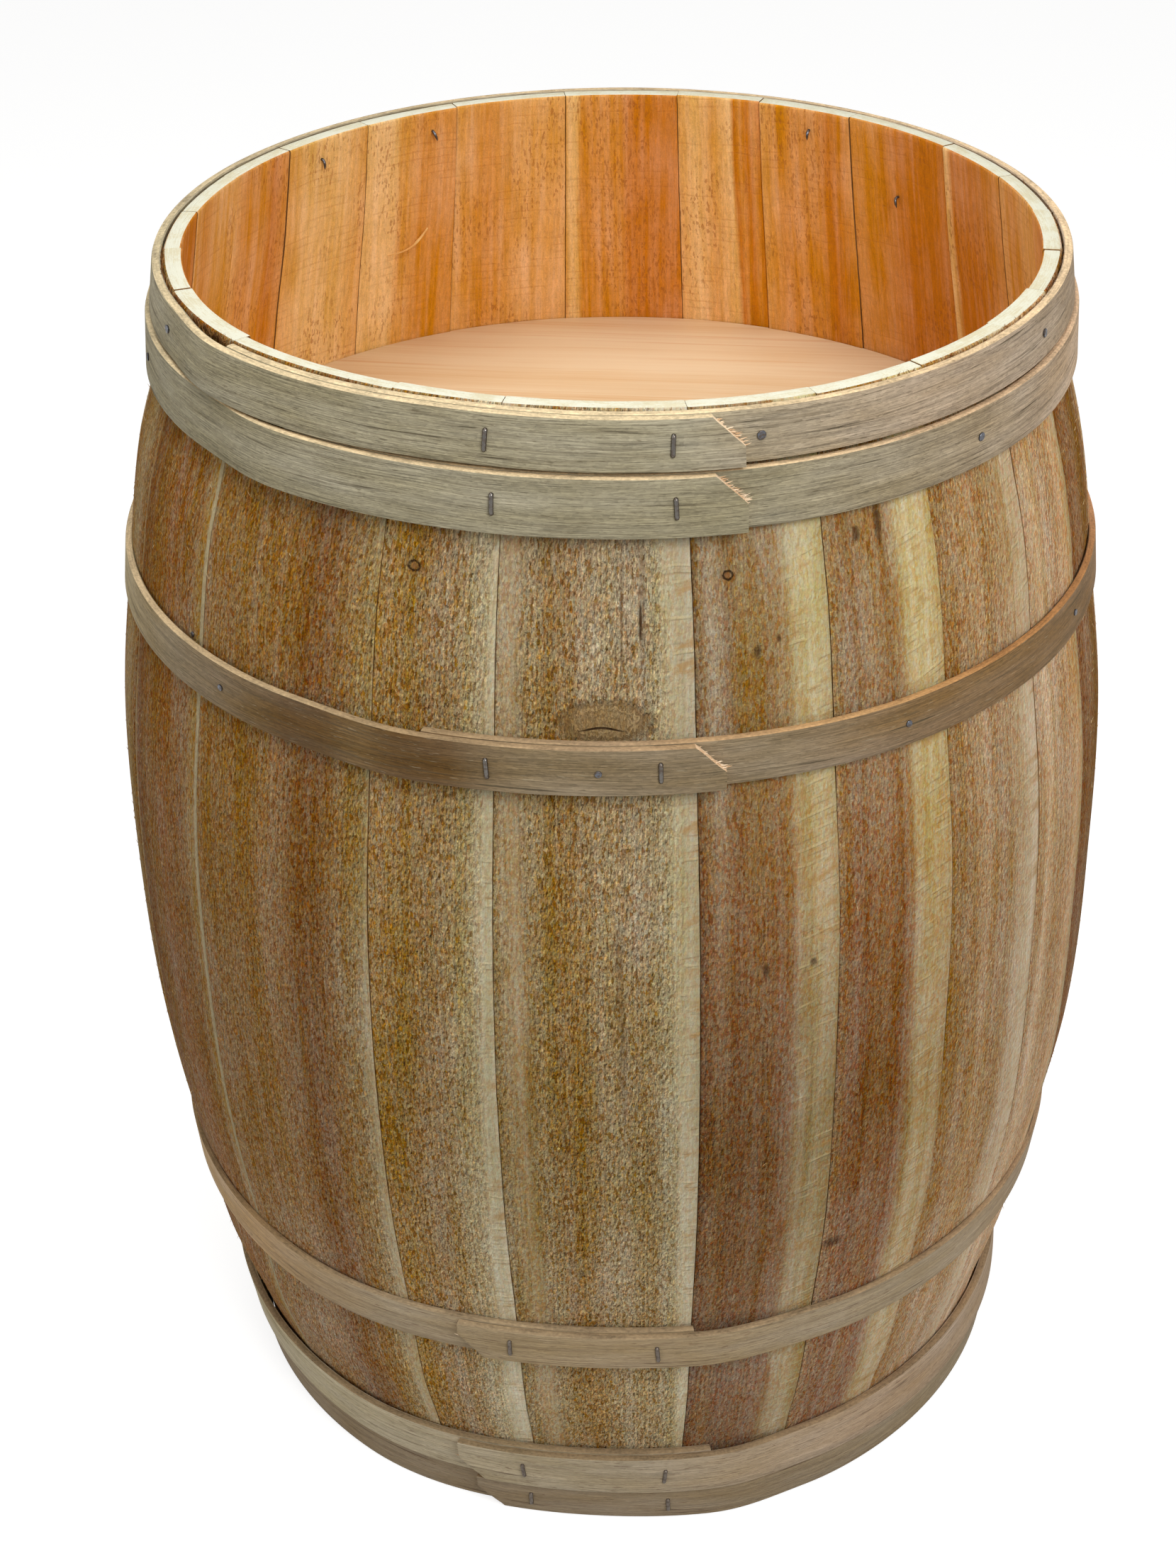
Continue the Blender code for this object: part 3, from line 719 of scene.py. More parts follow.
# Knots and torn spots: board, azimuth, height, radius across, radius along, kind
KNOTS = (
    (22, -22.8, 0.6029, 0.0027, 0.0021, "ring"),
    (1, 12.3, 0.6037, 0.0022, 0.0019, "ring"),
    (23, -1.2, 0.5385, 0.0200, 0.0098, "eye"),
    (23, -1.6, 0.5350, 0.0110, 0.0006, "crack"),
    (23, 2.6, 0.5850, 0.0006, 0.0090, "crack"),
    (23, 2.9, 0.5960, 0.0018, 0.0420, "stain"),
    (23, 0.6, 0.5900, 0.0012, 0.0400, "stain"),
    (23, 0.0, 0.4100, 0.0032, 0.0460, "stain"),
    (23, 0.3, 0.3600, 0.0030, 0.0450, "stain"),
    (1, 15.1, 0.5676, 0.0018, 0.0030, "spot"),
    (1, 17.5, 0.5726, 0.0012, 0.0020, "spot"),
    (1, 20.4, 0.4059, 0.0018, 0.0024, "spot"),
    (1, 15.2, 0.4062, 0.0016, 0.0040, "spot"),
    (2, 24.6, 0.2166, 0.0054, 0.0036, "spot"),
    (2, 27.5, 0.6126, 0.0020, 0.0036, "spot"),
    (2, 30.4, 0.6150, 0.0018, 0.0110, "spot"),
    (12, 178.0, 0.300, 0.0100, 0.0130, "eye"),
    (6, 88.0, 0.420, 0.0040, 0.0045, "ring"),
    (17, 255.0, 0.300, 0.0030, 0.0040, "ring"),
)


def stave_joints():
    """Azimuths of the joints between boards, one more than there are boards."""
    shares = np.cumsum(STAVE_WIDTHS) / sum(STAVE_WIDTHS)
    return [FIRST_JOINT] + [FIRST_JOINT + 360.0 * float(share) for share in shares]


JOINTS = stave_joints()


def span(number):
    """Azimuths of the two joints beside a board."""
    return JOINTS[number - 1], JOINTS[number]


def board_offset(number):
    """Moves the grain of each board to a place of its own in the noise."""
    return number * np.array([0.613, 0.271, 0.377])


def board_columns(number, height):
    """Azimuths of the outer columns of a board at a height."""
    start, end = span(number)
    radius = float(outer_radius(height))
    count = max(6, round(math.radians(end - start) * BILGE_RADIUS / COLUMN_WIDTH))
    edge = np.degrees((JOINT_GAP / 2 + EDGE_AT) / radius)
    ragged = np.degrees(JOINT_RAGGED / radius)
    left, right = (edge + ragged * (1 + wander(height, seed + number, 0.004)) for seed in (900, 950))
    inner = start + (end - start) * np.arange(1, count) / count
    return np.concatenate([start + left, inner, (end - right)[::-1]])


def inside_face(number, height):
    """Radius of a board's inner face."""
    return float(inner_radius(height)) - BOARDS[number][3] / 1000


def make_board(number, materials):
    """One bowed board with a crowned outside, eased edges and the croze groove."""
    start, end = span(number)
    middle = (start + end) / 2
    half = math.radians(end - start) / 2
    top = HEIGHT - np.random.default_rng(300 + number).uniform(0.0, END_RAGGED)
    levels = [*END_AT, *CROZE, *np.linspace(BODY_START, top - BODY_END, BODY_LEVELS)]
    levels += [top - away for away in reversed(END_AT)]
    points, woods, acrosses, ups = [], [], [], []
    for height in levels:
        azimuths = board_columns(number, height)
        corner = float(outer_radius(height))
        drop = np.zeros(len(azimuths))
        drop[:4] = EDGE_DROP
        drop[-4:] = EDGE_DROP[::-1]
        end_drop = float(np.interp(min(height, top - height), END_AT, END_DROP))
        chord = corner * math.cos(half) / np.cos(np.radians(azimuths - middle))
        sway = SWAY * wander(height, 500 + number, SWAY_LENGTH)
        outer = chord + STAVE_CROWN * (corner - chord) + BOARDS[number][2] / 1000 + sway - drop - end_drop
        inner = inside_face(number, height) + INSIDE_EASE * drop + end_drop + CROZE.get(height, 0.0)
        points += [polar(outer, azimuths, height), polar(inner, azimuths, height)[::-1]]
        sideways = np.radians(azimuths - middle) * corner
        face = np.stack(np.broadcast_arrays(sideways, height, 0.0), axis=1)
        woods += [face + board_offset(number), face[::-1] + (0, 0, -STAVE_THICKNESS) + board_offset(number)]
        share = (azimuths - start) / (end - start)
        acrosses += [share, share[::-1]]
        ups += [height] * (2 * len(azimuths))
    wide = len(azimuths)
    around = 2 * wide
    faces = ring_faces(len(levels), around)[:-2]
    slots = ([0] * (wide - 1) + [2] + [1] * (wide - 1) + [2]) * (len(levels) - 1)
    last = (len(levels) - 1) * around
    for column in range(wide - 1):
        far = around - 1 - column
        faces.append((last + column, last + column + 1, last + far - 1, last + far))
        faces.append((far, far - 1, column + 1, column))
        slots += [3, 3]
    piece = add_mesh(f"board_{number:02d}", np.concatenate(points), faces, slots, materials,
                     wood=np.concatenate(woods), across=np.concatenate(acrosses), up=ups)
    settle(piece, "stave_wood", f"stave_{number:02d}")


def make_boards():
    """All the boards, each with its own outside and inside wood."""
    joint = joint_wood()
    rim = end_wood("wood_rim_end", (216, 214, 194), (206, 197, 166))
    inside = {name: inside_wood(f"wood_inside_{name}", stops) for name, stops in INSIDE.items()}
    for number, (outside_name, inside_name, *_) in BOARDS.items():
        middle = sum(span(number)) / 2
        knots = []
        for board, azimuth, height, wide, tall, kind in KNOTS:
            if board == number:
                turned = azimuth - middle + (360 if azimuth - middle < -180 else 0)
                sideways = math.radians(turned) * float(outer_radius(height))
                place = board_offset(number) + np.array([sideways, height, 0.0])
                knots.append((place, (wide, tall), kind))
        outside = outside_wood(f"wood_outside_{number:02d}", *OUTSIDE[outside_name], knots=knots)
        make_board(number, [outside, inside[inside_name], joint, rim])


def hoop_wood(name, stops, streaks, bold):
    """Weathered strip wood: long fine grain with short dashes. Stops go round by azimuth."""
    g = Graph(name, roughness=0.82, specular=0.25)
    wood = g.wood()
    colour = g.ramp(g.math("FRACT", g.attribute("turn")), stops)[0]
    grain = g.bend(wood, g.times(g.noise(wood, (6, 30, 10), 2), 0.006))
    cloud = g.noise(grain, (14, 60, 10), 3)
    streak = g.noise(grain, (7, 330, 20), 4, 0.62)
    fibre = g.noise(grain, (38, 1500, 60), 3, 0.6)
    dash = g.noise(g.shift(grain, (1.3, 0.7, 0.2)), (120, 1100, 60), 2)
    split = g.noise(g.shift(grain, (5.3, 2.7, 0.9)), (16, 620, 60), 2)
    worn_off = g.strokes(grain, (420, 1150, 60))
    value = g.swing((cloud, 0.7), (streak, 1), (fibre, 1.35), (worn_off[0], 0.26))
    value = g.plus(g.times(value, bold), 1.03)
    colour = g.tint(colour, value, g.minus(1, g.swing((cloud, 0.7))))
    crack = g.between(split, 0.31, 0.25)
    dark, light = streaks
    for share, weight, tone in (
        (g.between(dash, 0.38, 0.30), 0.55, dark), (g.between(dash, 0.64, 0.70), 0.22, light),
        (g.between(split, 0.44, 0.36), 0.34 * bold, dark), (crack, 0.8, dark),
    ):
        colour = g.paint(colour, share, weight, tone)
    height = g.sum((streak, 0.8), (fibre, 0.9), (dash, 0.8), (worn_off[0], 0.2), (crack, -1.2))
    return g.finish(colour, height, 0.0006, 0.9)


class Hoop:
    """A strip that goes once round from inner_end, climbs over its start and ends at outer_end.

    It follows the taper of the boards in front and hugs them closer by a share of the rest at the
    sides and the back, where it is also thinner by another share.
    """

    def __init__(self, name, side, from_end, width, follow, inner_end, outer_end, hug=0.0, thin=0.0):
        self.name = name
        self.label = name.removeprefix("hoop_")
        self.side = side
        self.width = width
        self.thin = thin
        self.inner_end = inner_end
        self.outer_end = outer_end
        self.turn = 1 if outer_end > inner_end else -1
        self.lap = abs(outer_end - inner_end)
        edge = HEIGHT if side == TOP else 0.0
        self.end_edge = edge - side * from_end
        self.bilge_edge = edge - side * (from_end + width)
        self.middle = (self.end_edge + self.bilge_edge) / 2
        self.bilge_radius = solid_radius(self.bilge_edge) + HOOP_GAP
        taper = solid_radius(self.bilge_edge) - solid_radius(self.end_edge)
        self.end_radius = self.bilge_radius - follow * taper
        self.hug = hug * (1 - follow) * taper
        self.snug = SNUG if hug else 0.0
        self.seed = sum(map(ord, name))

    def away(self, azimuth):
        """How far round from the front: 0 in front, 1 from the sides to the back."""
        return min(1.0, 1 - math.cos(math.radians(azimuth)))

    def inside(self, azimuth, height):
        share = (height - self.bilge_edge) / (self.end_edge - self.bilge_edge)
        end_radius = self.end_radius - self.hug * self.away(azimuth)
        return self.bilge_radius + share * (end_radius - self.bilge_radius) - self.snug * self.away(azimuth)

    def thickness(self, azimuth):
        return HOOP_THICKNESS * (1 - self.thin * self.away(azimuth))

    def climb(self, travelled):
        share = min(max((travelled - 360.0 + CLIMB) / CLIMB, 0.0), 1.0)
        return (HOOP_THICKNESS + LAYER_GAP) * (1 - math.cos(math.pi * share)) / 2

    def sway(self, azimuth):
        """Small unevenness of the bent strip: outwards, and up or down."""
        out = 0.00018 * (1 + wander(azimuth, self.seed, 15.0, 24))
        return out, 0.00035 * wander(azimuth, self.seed + 1, 20.0, 18)

    def face(self, azimuth, height):
        """Radius of the outer face after the pressing."""
        travelled = (self.turn * (azimuth - self.inner_end)) % 360.0
        if travelled < self.lap:
            travelled += 360.0
        layers = self.inside(azimuth, height) + self.climb(travelled) + self.thickness(azimuth)
        return layers + self.sway(azimuth)[0] - float(press(azimuth, height))


# Section of a strip: share of the width from the bilge edge, distance from there, depth, material
SECTION = (
    (0.0, 0.0, 0.0007, 1), (0.0, 0.0, HOOP_THICKNESS - 0.0009, 1),
    (0.0, 0.0003, HOOP_THICKNESS - 0.0002, 0), (0.0, 0.0011, HOOP_THICKNESS, 0),
    (0.25, 0.0, HOOP_THICKNESS, 0), (0.5, 0.0, HOOP_THICKNESS, 0), (0.75, 0.0, HOOP_THICKNESS, 0),
    (1.0, -0.0011, HOOP_THICKNESS, 0), (1.0, -0.0003, HOOP_THICKNESS - 0.0002, 1),
    (1.0, 0.0, HOOP_THICKNESS - 0.0009, 1), (1.0, 0.0, 0.0007, 0), (1.0, -0.0005, 0.0, 0),
    (0.5, 0.0, 0.0, 0), (0.0, 0.0005, 0.0, 0),
)


def make_hoop(hoop, materials):
    """The strip as one closed mesh with its corner cut off at the outer end."""
    length = 360.0 + hoop.lap
    cut_angle = math.degrees(CORNER_CUT / hoop.face(hoop.outer_end, hoop.middle))
    corner = length - cut_angle
    travels = [*np.arange(0.0, corner, TURN_STEP), *np.linspace(corner, length, CORNER_STEPS)]
    points, woods, turns = [], [], []
    for travelled in travels:
        azimuth = hoop.inner_end + hoop.turn * travelled
        past = max(0.0, (travelled - corner) / cut_angle)
        ragged = CORNER_RAGGED * float(wander(travelled, hoop.seed + 3, 0.7)) if past > 0 else 0.0
        wide = hoop.width - CORNER_CUT * past - ragged
        out, up = hoop.sway(azimuth)
        for share, inset, depth, _ in SECTION:
            height = hoop.bilge_edge + hoop.side * (share * wide + inset)
            layers = hoop.climb(travelled) + depth * hoop.thickness(azimuth) / HOOP_THICKNESS
            points.append(polar(hoop.inside(azimuth, height) + layers + out, azimuth, height + up))
            woods.append((math.radians(travelled) * 0.25, height, depth * 0.6 + hoop.seed * 0.37))
            turns.append((azimuth + 180.0) / 360.0)
    faces = ring_faces(len(travels), len(SECTION))
    if hoop.side * hoop.turn > 0:
        faces = [face[::-1] for face in faces]
    slots = []
    for travelled in travels[:-1]:
        for column, (*_, slot) in enumerate(SECTION):
            slots.append(2 if slot and column > 2 and travelled >= corner else slot)
    slots += [2, 2]
    piece = add_mesh(f"strip_{hoop.label}", points, faces, slots, materials, wood=woods, turn=turns)
    settle(piece, "upper_hoop_wood" if hoop.side == TOP else "lower_hoop_wood", hoop.name)


GREY = (152, 143, 117)
TAUPE = (158, 143, 117)
PINK_GREY = (170, 149, 124)
WARM = (138, 120, 92)
STAIN = (100, 75, 45)
BEIGE = (164, 146, 118)
DULL = (150, 131, 104)
FLESH = (174, 149, 121)

HOOPS = [
    Hoop("hoop_rim_top", TOP, 0.0005, 0.0240, 1.0, -51.0, 14.1),
    Hoop("hoop_head_top", TOP, 0.0262, 0.0281, 0.5, -40.0, 14.2),
    Hoop("hoop_quarter_top", TOP, 0.1474, 0.0240, 0.1, -20.3, 10.9, hug=0.75, thin=0.25),
    Hoop("hoop_quarter_bottom", BOTTOM, 0.1474, 0.0220, 0.1, 8.4, -19.6, hug=0.9, thin=0.55),
    Hoop("hoop_head_bottom", BOTTOM, 0.0262, 0.0281, 0.5, 12.0, -23.0),
    Hoop("hoop_rim_bottom", BOTTOM, 0.0005, 0.0240, 1.0, 12.0, -21.0),
]


# Faces and edges of the strips: (place round, tone), from the back over the left, front and right
STRIPS = {
    "hoop_rim_top": (
        ((0.0, TAUPE), (0.35, GREY), (0.52, GREY), (0.545, TAUPE), (0.6, PINK_GREY),
         (0.85, PINK_GREY), (1.0, TAUPE)),
        ((0.0, (190, 166, 130)), (0.26, (184, 168, 134)), (0.36, (212, 190, 150)), (0.52, (216, 194, 154)),
         (0.6, (214, 186, 146)), (0.75, (216, 188, 150)), (1.0, (190, 166, 130)))),
    "hoop_head_top": (
        ((0.0, TAUPE), (0.3, GREY), (0.54, GREY), (0.6, TAUPE), (0.66, PINK_GREY),
         (0.70, (206, 179, 150)), (0.75, (206, 179, 150)), (1.0, TAUPE)),
        ((0.0, (190, 166, 130)), (0.26, (184, 168, 134)), (0.36, (210, 188, 148)), (0.52, (214, 190, 150)),
         (0.62, (212, 180, 142)), (0.74, (226, 192, 156)), (1.0, (190, 166, 130)))),
    "hoop_quarter_top": (
        ((0.0, WARM), (0.22, (170, 152, 114)), (0.29, (164, 146, 108)), (0.35, WARM),
         (0.385, (118, 95, 64)), (0.398, STAIN), (0.412, STAIN), (0.424, (122, 98, 66)),
         (0.436, STAIN), (0.452, STAIN), (0.463, (126, 106, 78)), (0.475, WARM), (0.545, WARM),
         (0.575, (136, 112, 82)), (0.60, (130, 103, 70)), (0.69, (132, 104, 71)),
         (0.73, (164, 131, 99)), (0.77, (170, 138, 114)), (1.0, WARM)),
        ((0.0, (188, 162, 124)), (0.27, (190, 168, 132)), (0.40, (172, 148, 112)), (0.44, (152, 128, 94)),
         (0.50, (166, 140, 108)), (0.575, (196, 154, 104)), (0.62, (178, 130, 80)), (0.70, (172, 122, 76)),
         (0.75, (200, 150, 110)), (1.0, (188, 162, 124)))),
    "hoop_quarter_bottom": (
        ((0.0, BEIGE), (0.30, (184, 154, 114)), (0.36, (184, 152, 112)), (0.39, (164, 138, 102)),
         (0.42, BEIGE), (0.5, (158, 136, 102)), (0.6, BEIGE), (0.75, FLESH), (1.0, BEIGE)),
        ((0.0, (160, 136, 104)), (0.36, (138, 112, 78)), (0.42, (162, 142, 112)), (0.6, (160, 136, 104)),
         (0.75, (178, 146, 114)), (1.0, (160, 136, 104)))),
    "hoop_head_bottom": (
        ((0.0, BEIGE), (0.36, (192, 178, 146)), (0.5, (172, 156, 130)), (0.6, (184, 158, 130)),
         (1.0, BEIGE)),
        ((0.0, (150, 124, 92)), (0.45, (144, 124, 94)), (0.6, (154, 130, 100)), (1.0, (150, 124, 92)))),
    "hoop_rim_bottom": (
        ((0.0, DULL), (0.5, DULL), (0.7, BEIGE), (1.0, DULL)),
        ((0.0, (140, 114, 84)), (0.5, (138, 114, 84)), (1.0, (140, 114, 84)))),
}


def make_hoops():
    """The six strips, each with tones that change round the barrel."""
    cut = end_wood("wood_strip_cut", (232, 206, 172), (212, 174, 134))
    for hoop in HOOPS:
        face_stops, edge_stops = STRIPS[hoop.name]
        if hoop.side == TOP:
            streaks, bold = ((92, 80, 58), (204, 192, 162)), 1.0
        else:
            streaks, bold = ((108, 82, 60), (202, 178, 150)), 0.62
        wood = hoop_wood(f"wood_{hoop.name}", face_stops, streaks, bold)
        make_hoop(hoop, [wood, edge_wood(f"wood_edge_{hoop.label}", edge_stops), cut])


def steel(name, tone, roughness):
    """Steel of wire or nails, with darker and duller stains."""
    g = Graph(name, roughness=roughness, specular=0.5)
    stain = g.noise(g.place(), (700, 700, 700), 3)
    colour = g.mix(g.between(stain, 0.4, 0.65), srgb(*tone), srgb(92, 82, 74))
    g.feed(g.shader.inputs["Metallic"], 1)
    g.feed(g.shader.inputs["Roughness"], g.between(stain, 0.35, 0.7, roughness - 0.08, roughness + 0.25))
    return g.finish(colour, stain, 0.0001, 0.4)


def tube(points, radii, sides):
    """Points and faces of a closed tube along a line, with a radius at each point."""
    points = [Vector(point) for point in points]
    out = []
    side = None
    for index, point in enumerate(points):
        ahead = points[min(index + 1, len(points) - 1)] - points[max(index - 1, 0)]
        ahead.normalize()
        if side is None:
            helper = Vector((0, 0, 1)) if abs(ahead.z) < 0.9 else Vector((1, 0, 0))
            side = ahead.cross(helper).normalized()
        side = (side - ahead * side.dot(ahead)).normalized()
        other = ahead.cross(side)
        for step in range(sides):
            angle = 2 * math.pi * step / sides
            out.append(tuple(point + radii[index] * (math.cos(angle) * side + math.sin(angle) * other)))
    return out, ring_faces(len(points), sides)


def radial(azimuth):
    """Outward and sideways unit directions."""
    angle = math.radians(azimuth)
    return Vector((math.sin(angle), -math.cos(angle), 0)), Vector((math.cos(angle), math.sin(angle), 0))


def up_by(height):
    return Vector((0, 0, height))


def joined(forms):
    """One form from many pairs of points and faces."""
    points, faces = [], []
    for more, extra in forms:
        base = len(points)
        points += more
        faces += [tuple(corner + base for corner in face) for face in extra]
    return points, faces


STAPLES = {
    "hoop_rim_top": (-14.2, 6.3),
    "hoop_head_top": (-13.3, 6.5),
    "hoop_quarter_top": (-13.1, 4.3),
    "hoop_quarter_bottom": (-13.3, 4.0),
    "hoop_head_bottom": (-13.9, 5.5),
    "hoop_rim_bottom": (-13.3, 6.1),
}


def make_staples():
    """Bent wire staples whose legs go into the strips."""
    bright = steel("steel_wire", (104, 100, 95), 0.26)
    dull = steel("steel_wire_dull", (104, 96, 88), 0.45)
    rng = np.random.default_rng(5)
    for hoop in HOOPS:
        for side, azimuth in zip(("left", "right"), STAPLES[hoop.name]):
            outward, sideways = radial(azimuth)
            lean = rng.uniform(-0.0004, 0.0004)
            path = []
            for height, turn in ((-STAPLE_HALF, 1), (STAPLE_HALF, -1)):
                seat = float(hoop.face(azimuth, hoop.middle + height))
                spots = [(height, seat - STAPLE_LEG)]
                for a in np.linspace(0, math.pi / 2, 6):
                    up = height + turn * STAPLE_BEND * (1 - math.cos(a))
                    spots.append((up, seat - 0.0002 + STAPLE_BEND * math.sin(a)))
                for up, out in spots[::turn]:
                    place = outward * out + sideways * (lean * up / STAPLE_HALF)
                    path.append(place + up_by(hoop.middle + up))
            wire = tube(path, [STAPLE_RADIUS] * len(path), 12)
            metal = bright if hoop.side == TOP else dull
            piece = add_small(f"wire_{hoop.label}_{side}", wire, metal, 50)
            settle(piece, "staple_steel", f"staple_{hoop.label}_{side}")


NAILS = {
    "hoop_rim_top": (-66.1, 16.2, 61.2, 148.8, 207.9, 227.7),
    "hoop_head_top": (-75.0, 45.5, 133.4),
    "hoop_quarter_top": (-46.4, -1.9, 31.6, 63.3, 112.0, 180.0, 250.0),
}
# A small nail in a board, just above the upper quarter hoop: azimuth and height
LOOSE_NAIL = (-53.8, 0.5331)


def lathe(azimuth, height, outline, tilt):
    """Points and faces of a round form about a horizontal radial axis, from (radius, out) pairs."""
    outward, sideways = radial(azimuth)
    points = []
    for radius, out in outline:
        for step in range(NAIL_SIDES):
            angle = 2 * math.pi * step / NAIL_SIDES
            x, y = radius * math.cos(angle), radius * math.sin(angle)
            lift = out + x * tilt[0] + y * tilt[1]
            points.append(tuple(outward * lift + sideways * x + up_by(height + y)))
    return points, ring_faces(len(outline), NAIL_SIDES)


def make_nails():
    """Flat-headed nails; those of the two upper hoops show a bent point inside."""
    metal = steel("steel_nail", (98, 101, 108), 0.38)
    rng = np.random.default_rng(11)
    for hoop in HOOPS[:3]:
        in_floor = hoop.label == "quarter_top"
        small = 0.8 if in_floor else 1.0
        height = hoop.middle
        for index, azimuth in enumerate(NAILS[hoop.name], 1):
            seat = max(hoop.face(azimuth, height - 0.002), hoop.face(azimuth, height + 0.002))
            tilt = rng.uniform(-0.08, 0.08, 2)
            outline = [(radius * size, seat + out) for radius, out, size in (
                (0.0009, -0.012, 1), (0.0009, -0.0003, 1), (0.0019, -0.0002, small),
                (0.0021, 0.0001, small), (0.0021, 0.0005, small), (0.0019, 0.0007, small),
                (0.0010, 0.0008, small), (0.0002, 0.0007, 1),
            )]
            forms = [lathe(azimuth, height, outline, tilt)]
            wall = float(inner_radius(height) - press(azimuth, height))
            if not in_floor:
                outward, sideways = radial(azimuth)
                lean = rng.uniform(-0.5, 0.5)
                path = [outward * (wall + 0.004) + up_by(height)]
                for out, down in NAIL_POINT:
                    place = outward * (wall - 0.0008 + out) + sideways * (lean * down)
                    path.append(place + up_by(height - down))
                forms.append(tube(path, (0.0008, 0.0008, 0.0008, 0.0008, 0.0007, 0.0002), 10))
            piece = add_small(f"nail_{hoop.label}_{index}_head", joined(forms), metal, 35)
            settle(piece, "staple_steel", f"nail_{hoop.label}_{index}")
    azimuth, height = LOOSE_NAIL
    seat = float(outer_radius(height) - press(azimuth, height))
    outline = [(radius, seat + out) for radius, out in (
        (0.0007, -0.0060), (0.0007, -0.0002), (0.0014, 0.0),
        (0.0014, 0.0004), (0.0009, 0.0006), (0.0002, 0.0006),
    )]
    form = lathe(azimuth, height, outline, (0.05, -0.04))
    settle(add_small("nail_board_head", form, metal, 35), "staple_steel")


def floor_wood():
    """Planed pine with fine slanting growth lines and three knots."""
    g = Graph("wood_floor_pine", roughness=0.62, specular=0.3)
    place = g.place()
    values = {"Vector": place, "Angle": 0.10}
    turned = g.node("ShaderNodeVectorRotate", values, rotation_type="Z_AXIS").outputs[0]
    pull = g.times(g.minus(g.noise(turned, (2.2, 5, 1), 2), 0.5), 0.03)
    marks = []
    for x, y, wide, deep, dark in FLOOR_KNOTS:
        away = near(g, turned, (x, y, 0), (wide, deep))
        marks.append((away, dark))
        pull = g.plus(pull, g.math("DIVIDE", 0.004, g.plus(g.times(away, away), 1)))
    grain = g.bend(turned, pull)
    broad = g.noise(grain, (1.6, 42, 1), 2)
    line = g.noise(grain, (4, 330, 1), 3, 0.6)
    fine = g.noise(grain, (28, 1500, 1), 2)
    cloud = g.noise(place, (7, 12, 1), 2)
    share = g.sum((broad, 0.55), (line, 0.5), (fine, 0.12), (cloud, 0.3))
    colour = g.ramp(share, ((0.45, (228, 209, 175)), (0.70, (224, 200, 163)), (0.84, (218, 188, 146)),
                            (1, (204, 166, 120))))[0]
    colour = g.paint(colour, g.between(line, 0.60, 0.68), 0.30, (206, 150, 100))
    for away, dark in marks:
        wobble = g.plus(away, g.times(g.minus(fine, 0.5), 0.5))
        for far, close, weight, tone in (
            (2.3, 0.6, 0.5, (204, 146, 96)),
            (1.05, 0.5, 1, (170, 104, 62)),
            (0.55, 0.25, 0.8, (112, 62, 38)),
        ):
            colour = g.paint(colour, g.between(wobble, far, close), weight * dark, tone)
    return g.finish(colour, g.sum((line, 0.6), (fine, 0.5)), 0.0002, 0.5)


def make_floor():
    """The display floor, cut to the inner faces of the boards, with eased edges."""
    levels = (
        (FLOOR_TOP - FLOOR_THICKNESS, 0.0010), (FLOOR_TOP - FLOOR_THICKNESS + 0.0008, 0.0004),
        (FLOOR_TOP - 0.0008, 0.0004), (FLOOR_TOP - 0.0002, 0.0007), (FLOOR_TOP, 0.0012),
    )
    points = []
    for height, inset in levels:
        for number in BOARDS:
            start, end = span(number)
            azimuths = np.linspace(start + 0.12, end - 0.12, 9)
            points.append(polar(inside_face(number, height) - inset, azimuths, height))
    form = (np.concatenate(points), ring_faces(len(levels), 9 * len(BOARDS)))
    settle(add_small("floor_boards", form, floor_wood(), 30), "floor_pine", "display_floor")
    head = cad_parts["bottom_head"]
    head.data.materials.clear()
    head.data.materials.append(head_wood())


def head_wood():
    """Pine of the bottom head, in planks."""
    g = Graph("wood_head_pine", roughness=0.75, specular=0.25)
    place = g.place()
    line = g.noise(place, (5, 260, 1), 3, 0.6)
    broad = g.noise(place, (2, 34, 1), 2)
    fine = g.noise(place, (40, 1300, 1), 2)
    share = g.sum((broad, 0.6), (line, 0.5), (fine, 0.2))
    colour = g.ramp(share, ((0.4, (206, 168, 122)), (0.7, (190, 146, 96)), (0.95, (150, 104, 60))))[0]
    gap = g.between(g.math("ABSOLUTE", g.wave(g.parts(place)[1], 2 * PLANK_WIDTH)), 0.03, 0.012)
    colour = g.mix(gap, colour, srgb(60, 38, 20))
    return g.finish(colour, g.sum((line, 0.5), (fine, 0.5), (gap, -3)), 0.0004, 0.6)


def sliver(root, direction, bend, length, width):
    """A thin tapered, slightly curled splinter of three sides."""
    direction = direction.normalized()
    path, radii = [], []
    for step, size in ((0.0, 0.7), (0.35, 1.0), (0.7, 0.7), (1.0, 0.12)):
        path.append(root + direction * (length * step) + bend * (length * step * step))
        radii.append(width * size / 2)
    return tube(path, radii, 3)


def fuzz_wood(name, pale, deep):
    """Loose fibres in two tones."""
    g = Graph(f"fibre_{name}", roughness=0.9, specular=0.15)
    place = g.place()
    share = g.between(g.noise(place, (160, 160, 160), 2), 0.35, 0.65)
    fine = g.noise(place, (1500, 1500, 700), 1)
    return g.finish(g.mix(share, srgb(*pale), srgb(*deep)), fine, 0.0002, 0.5)


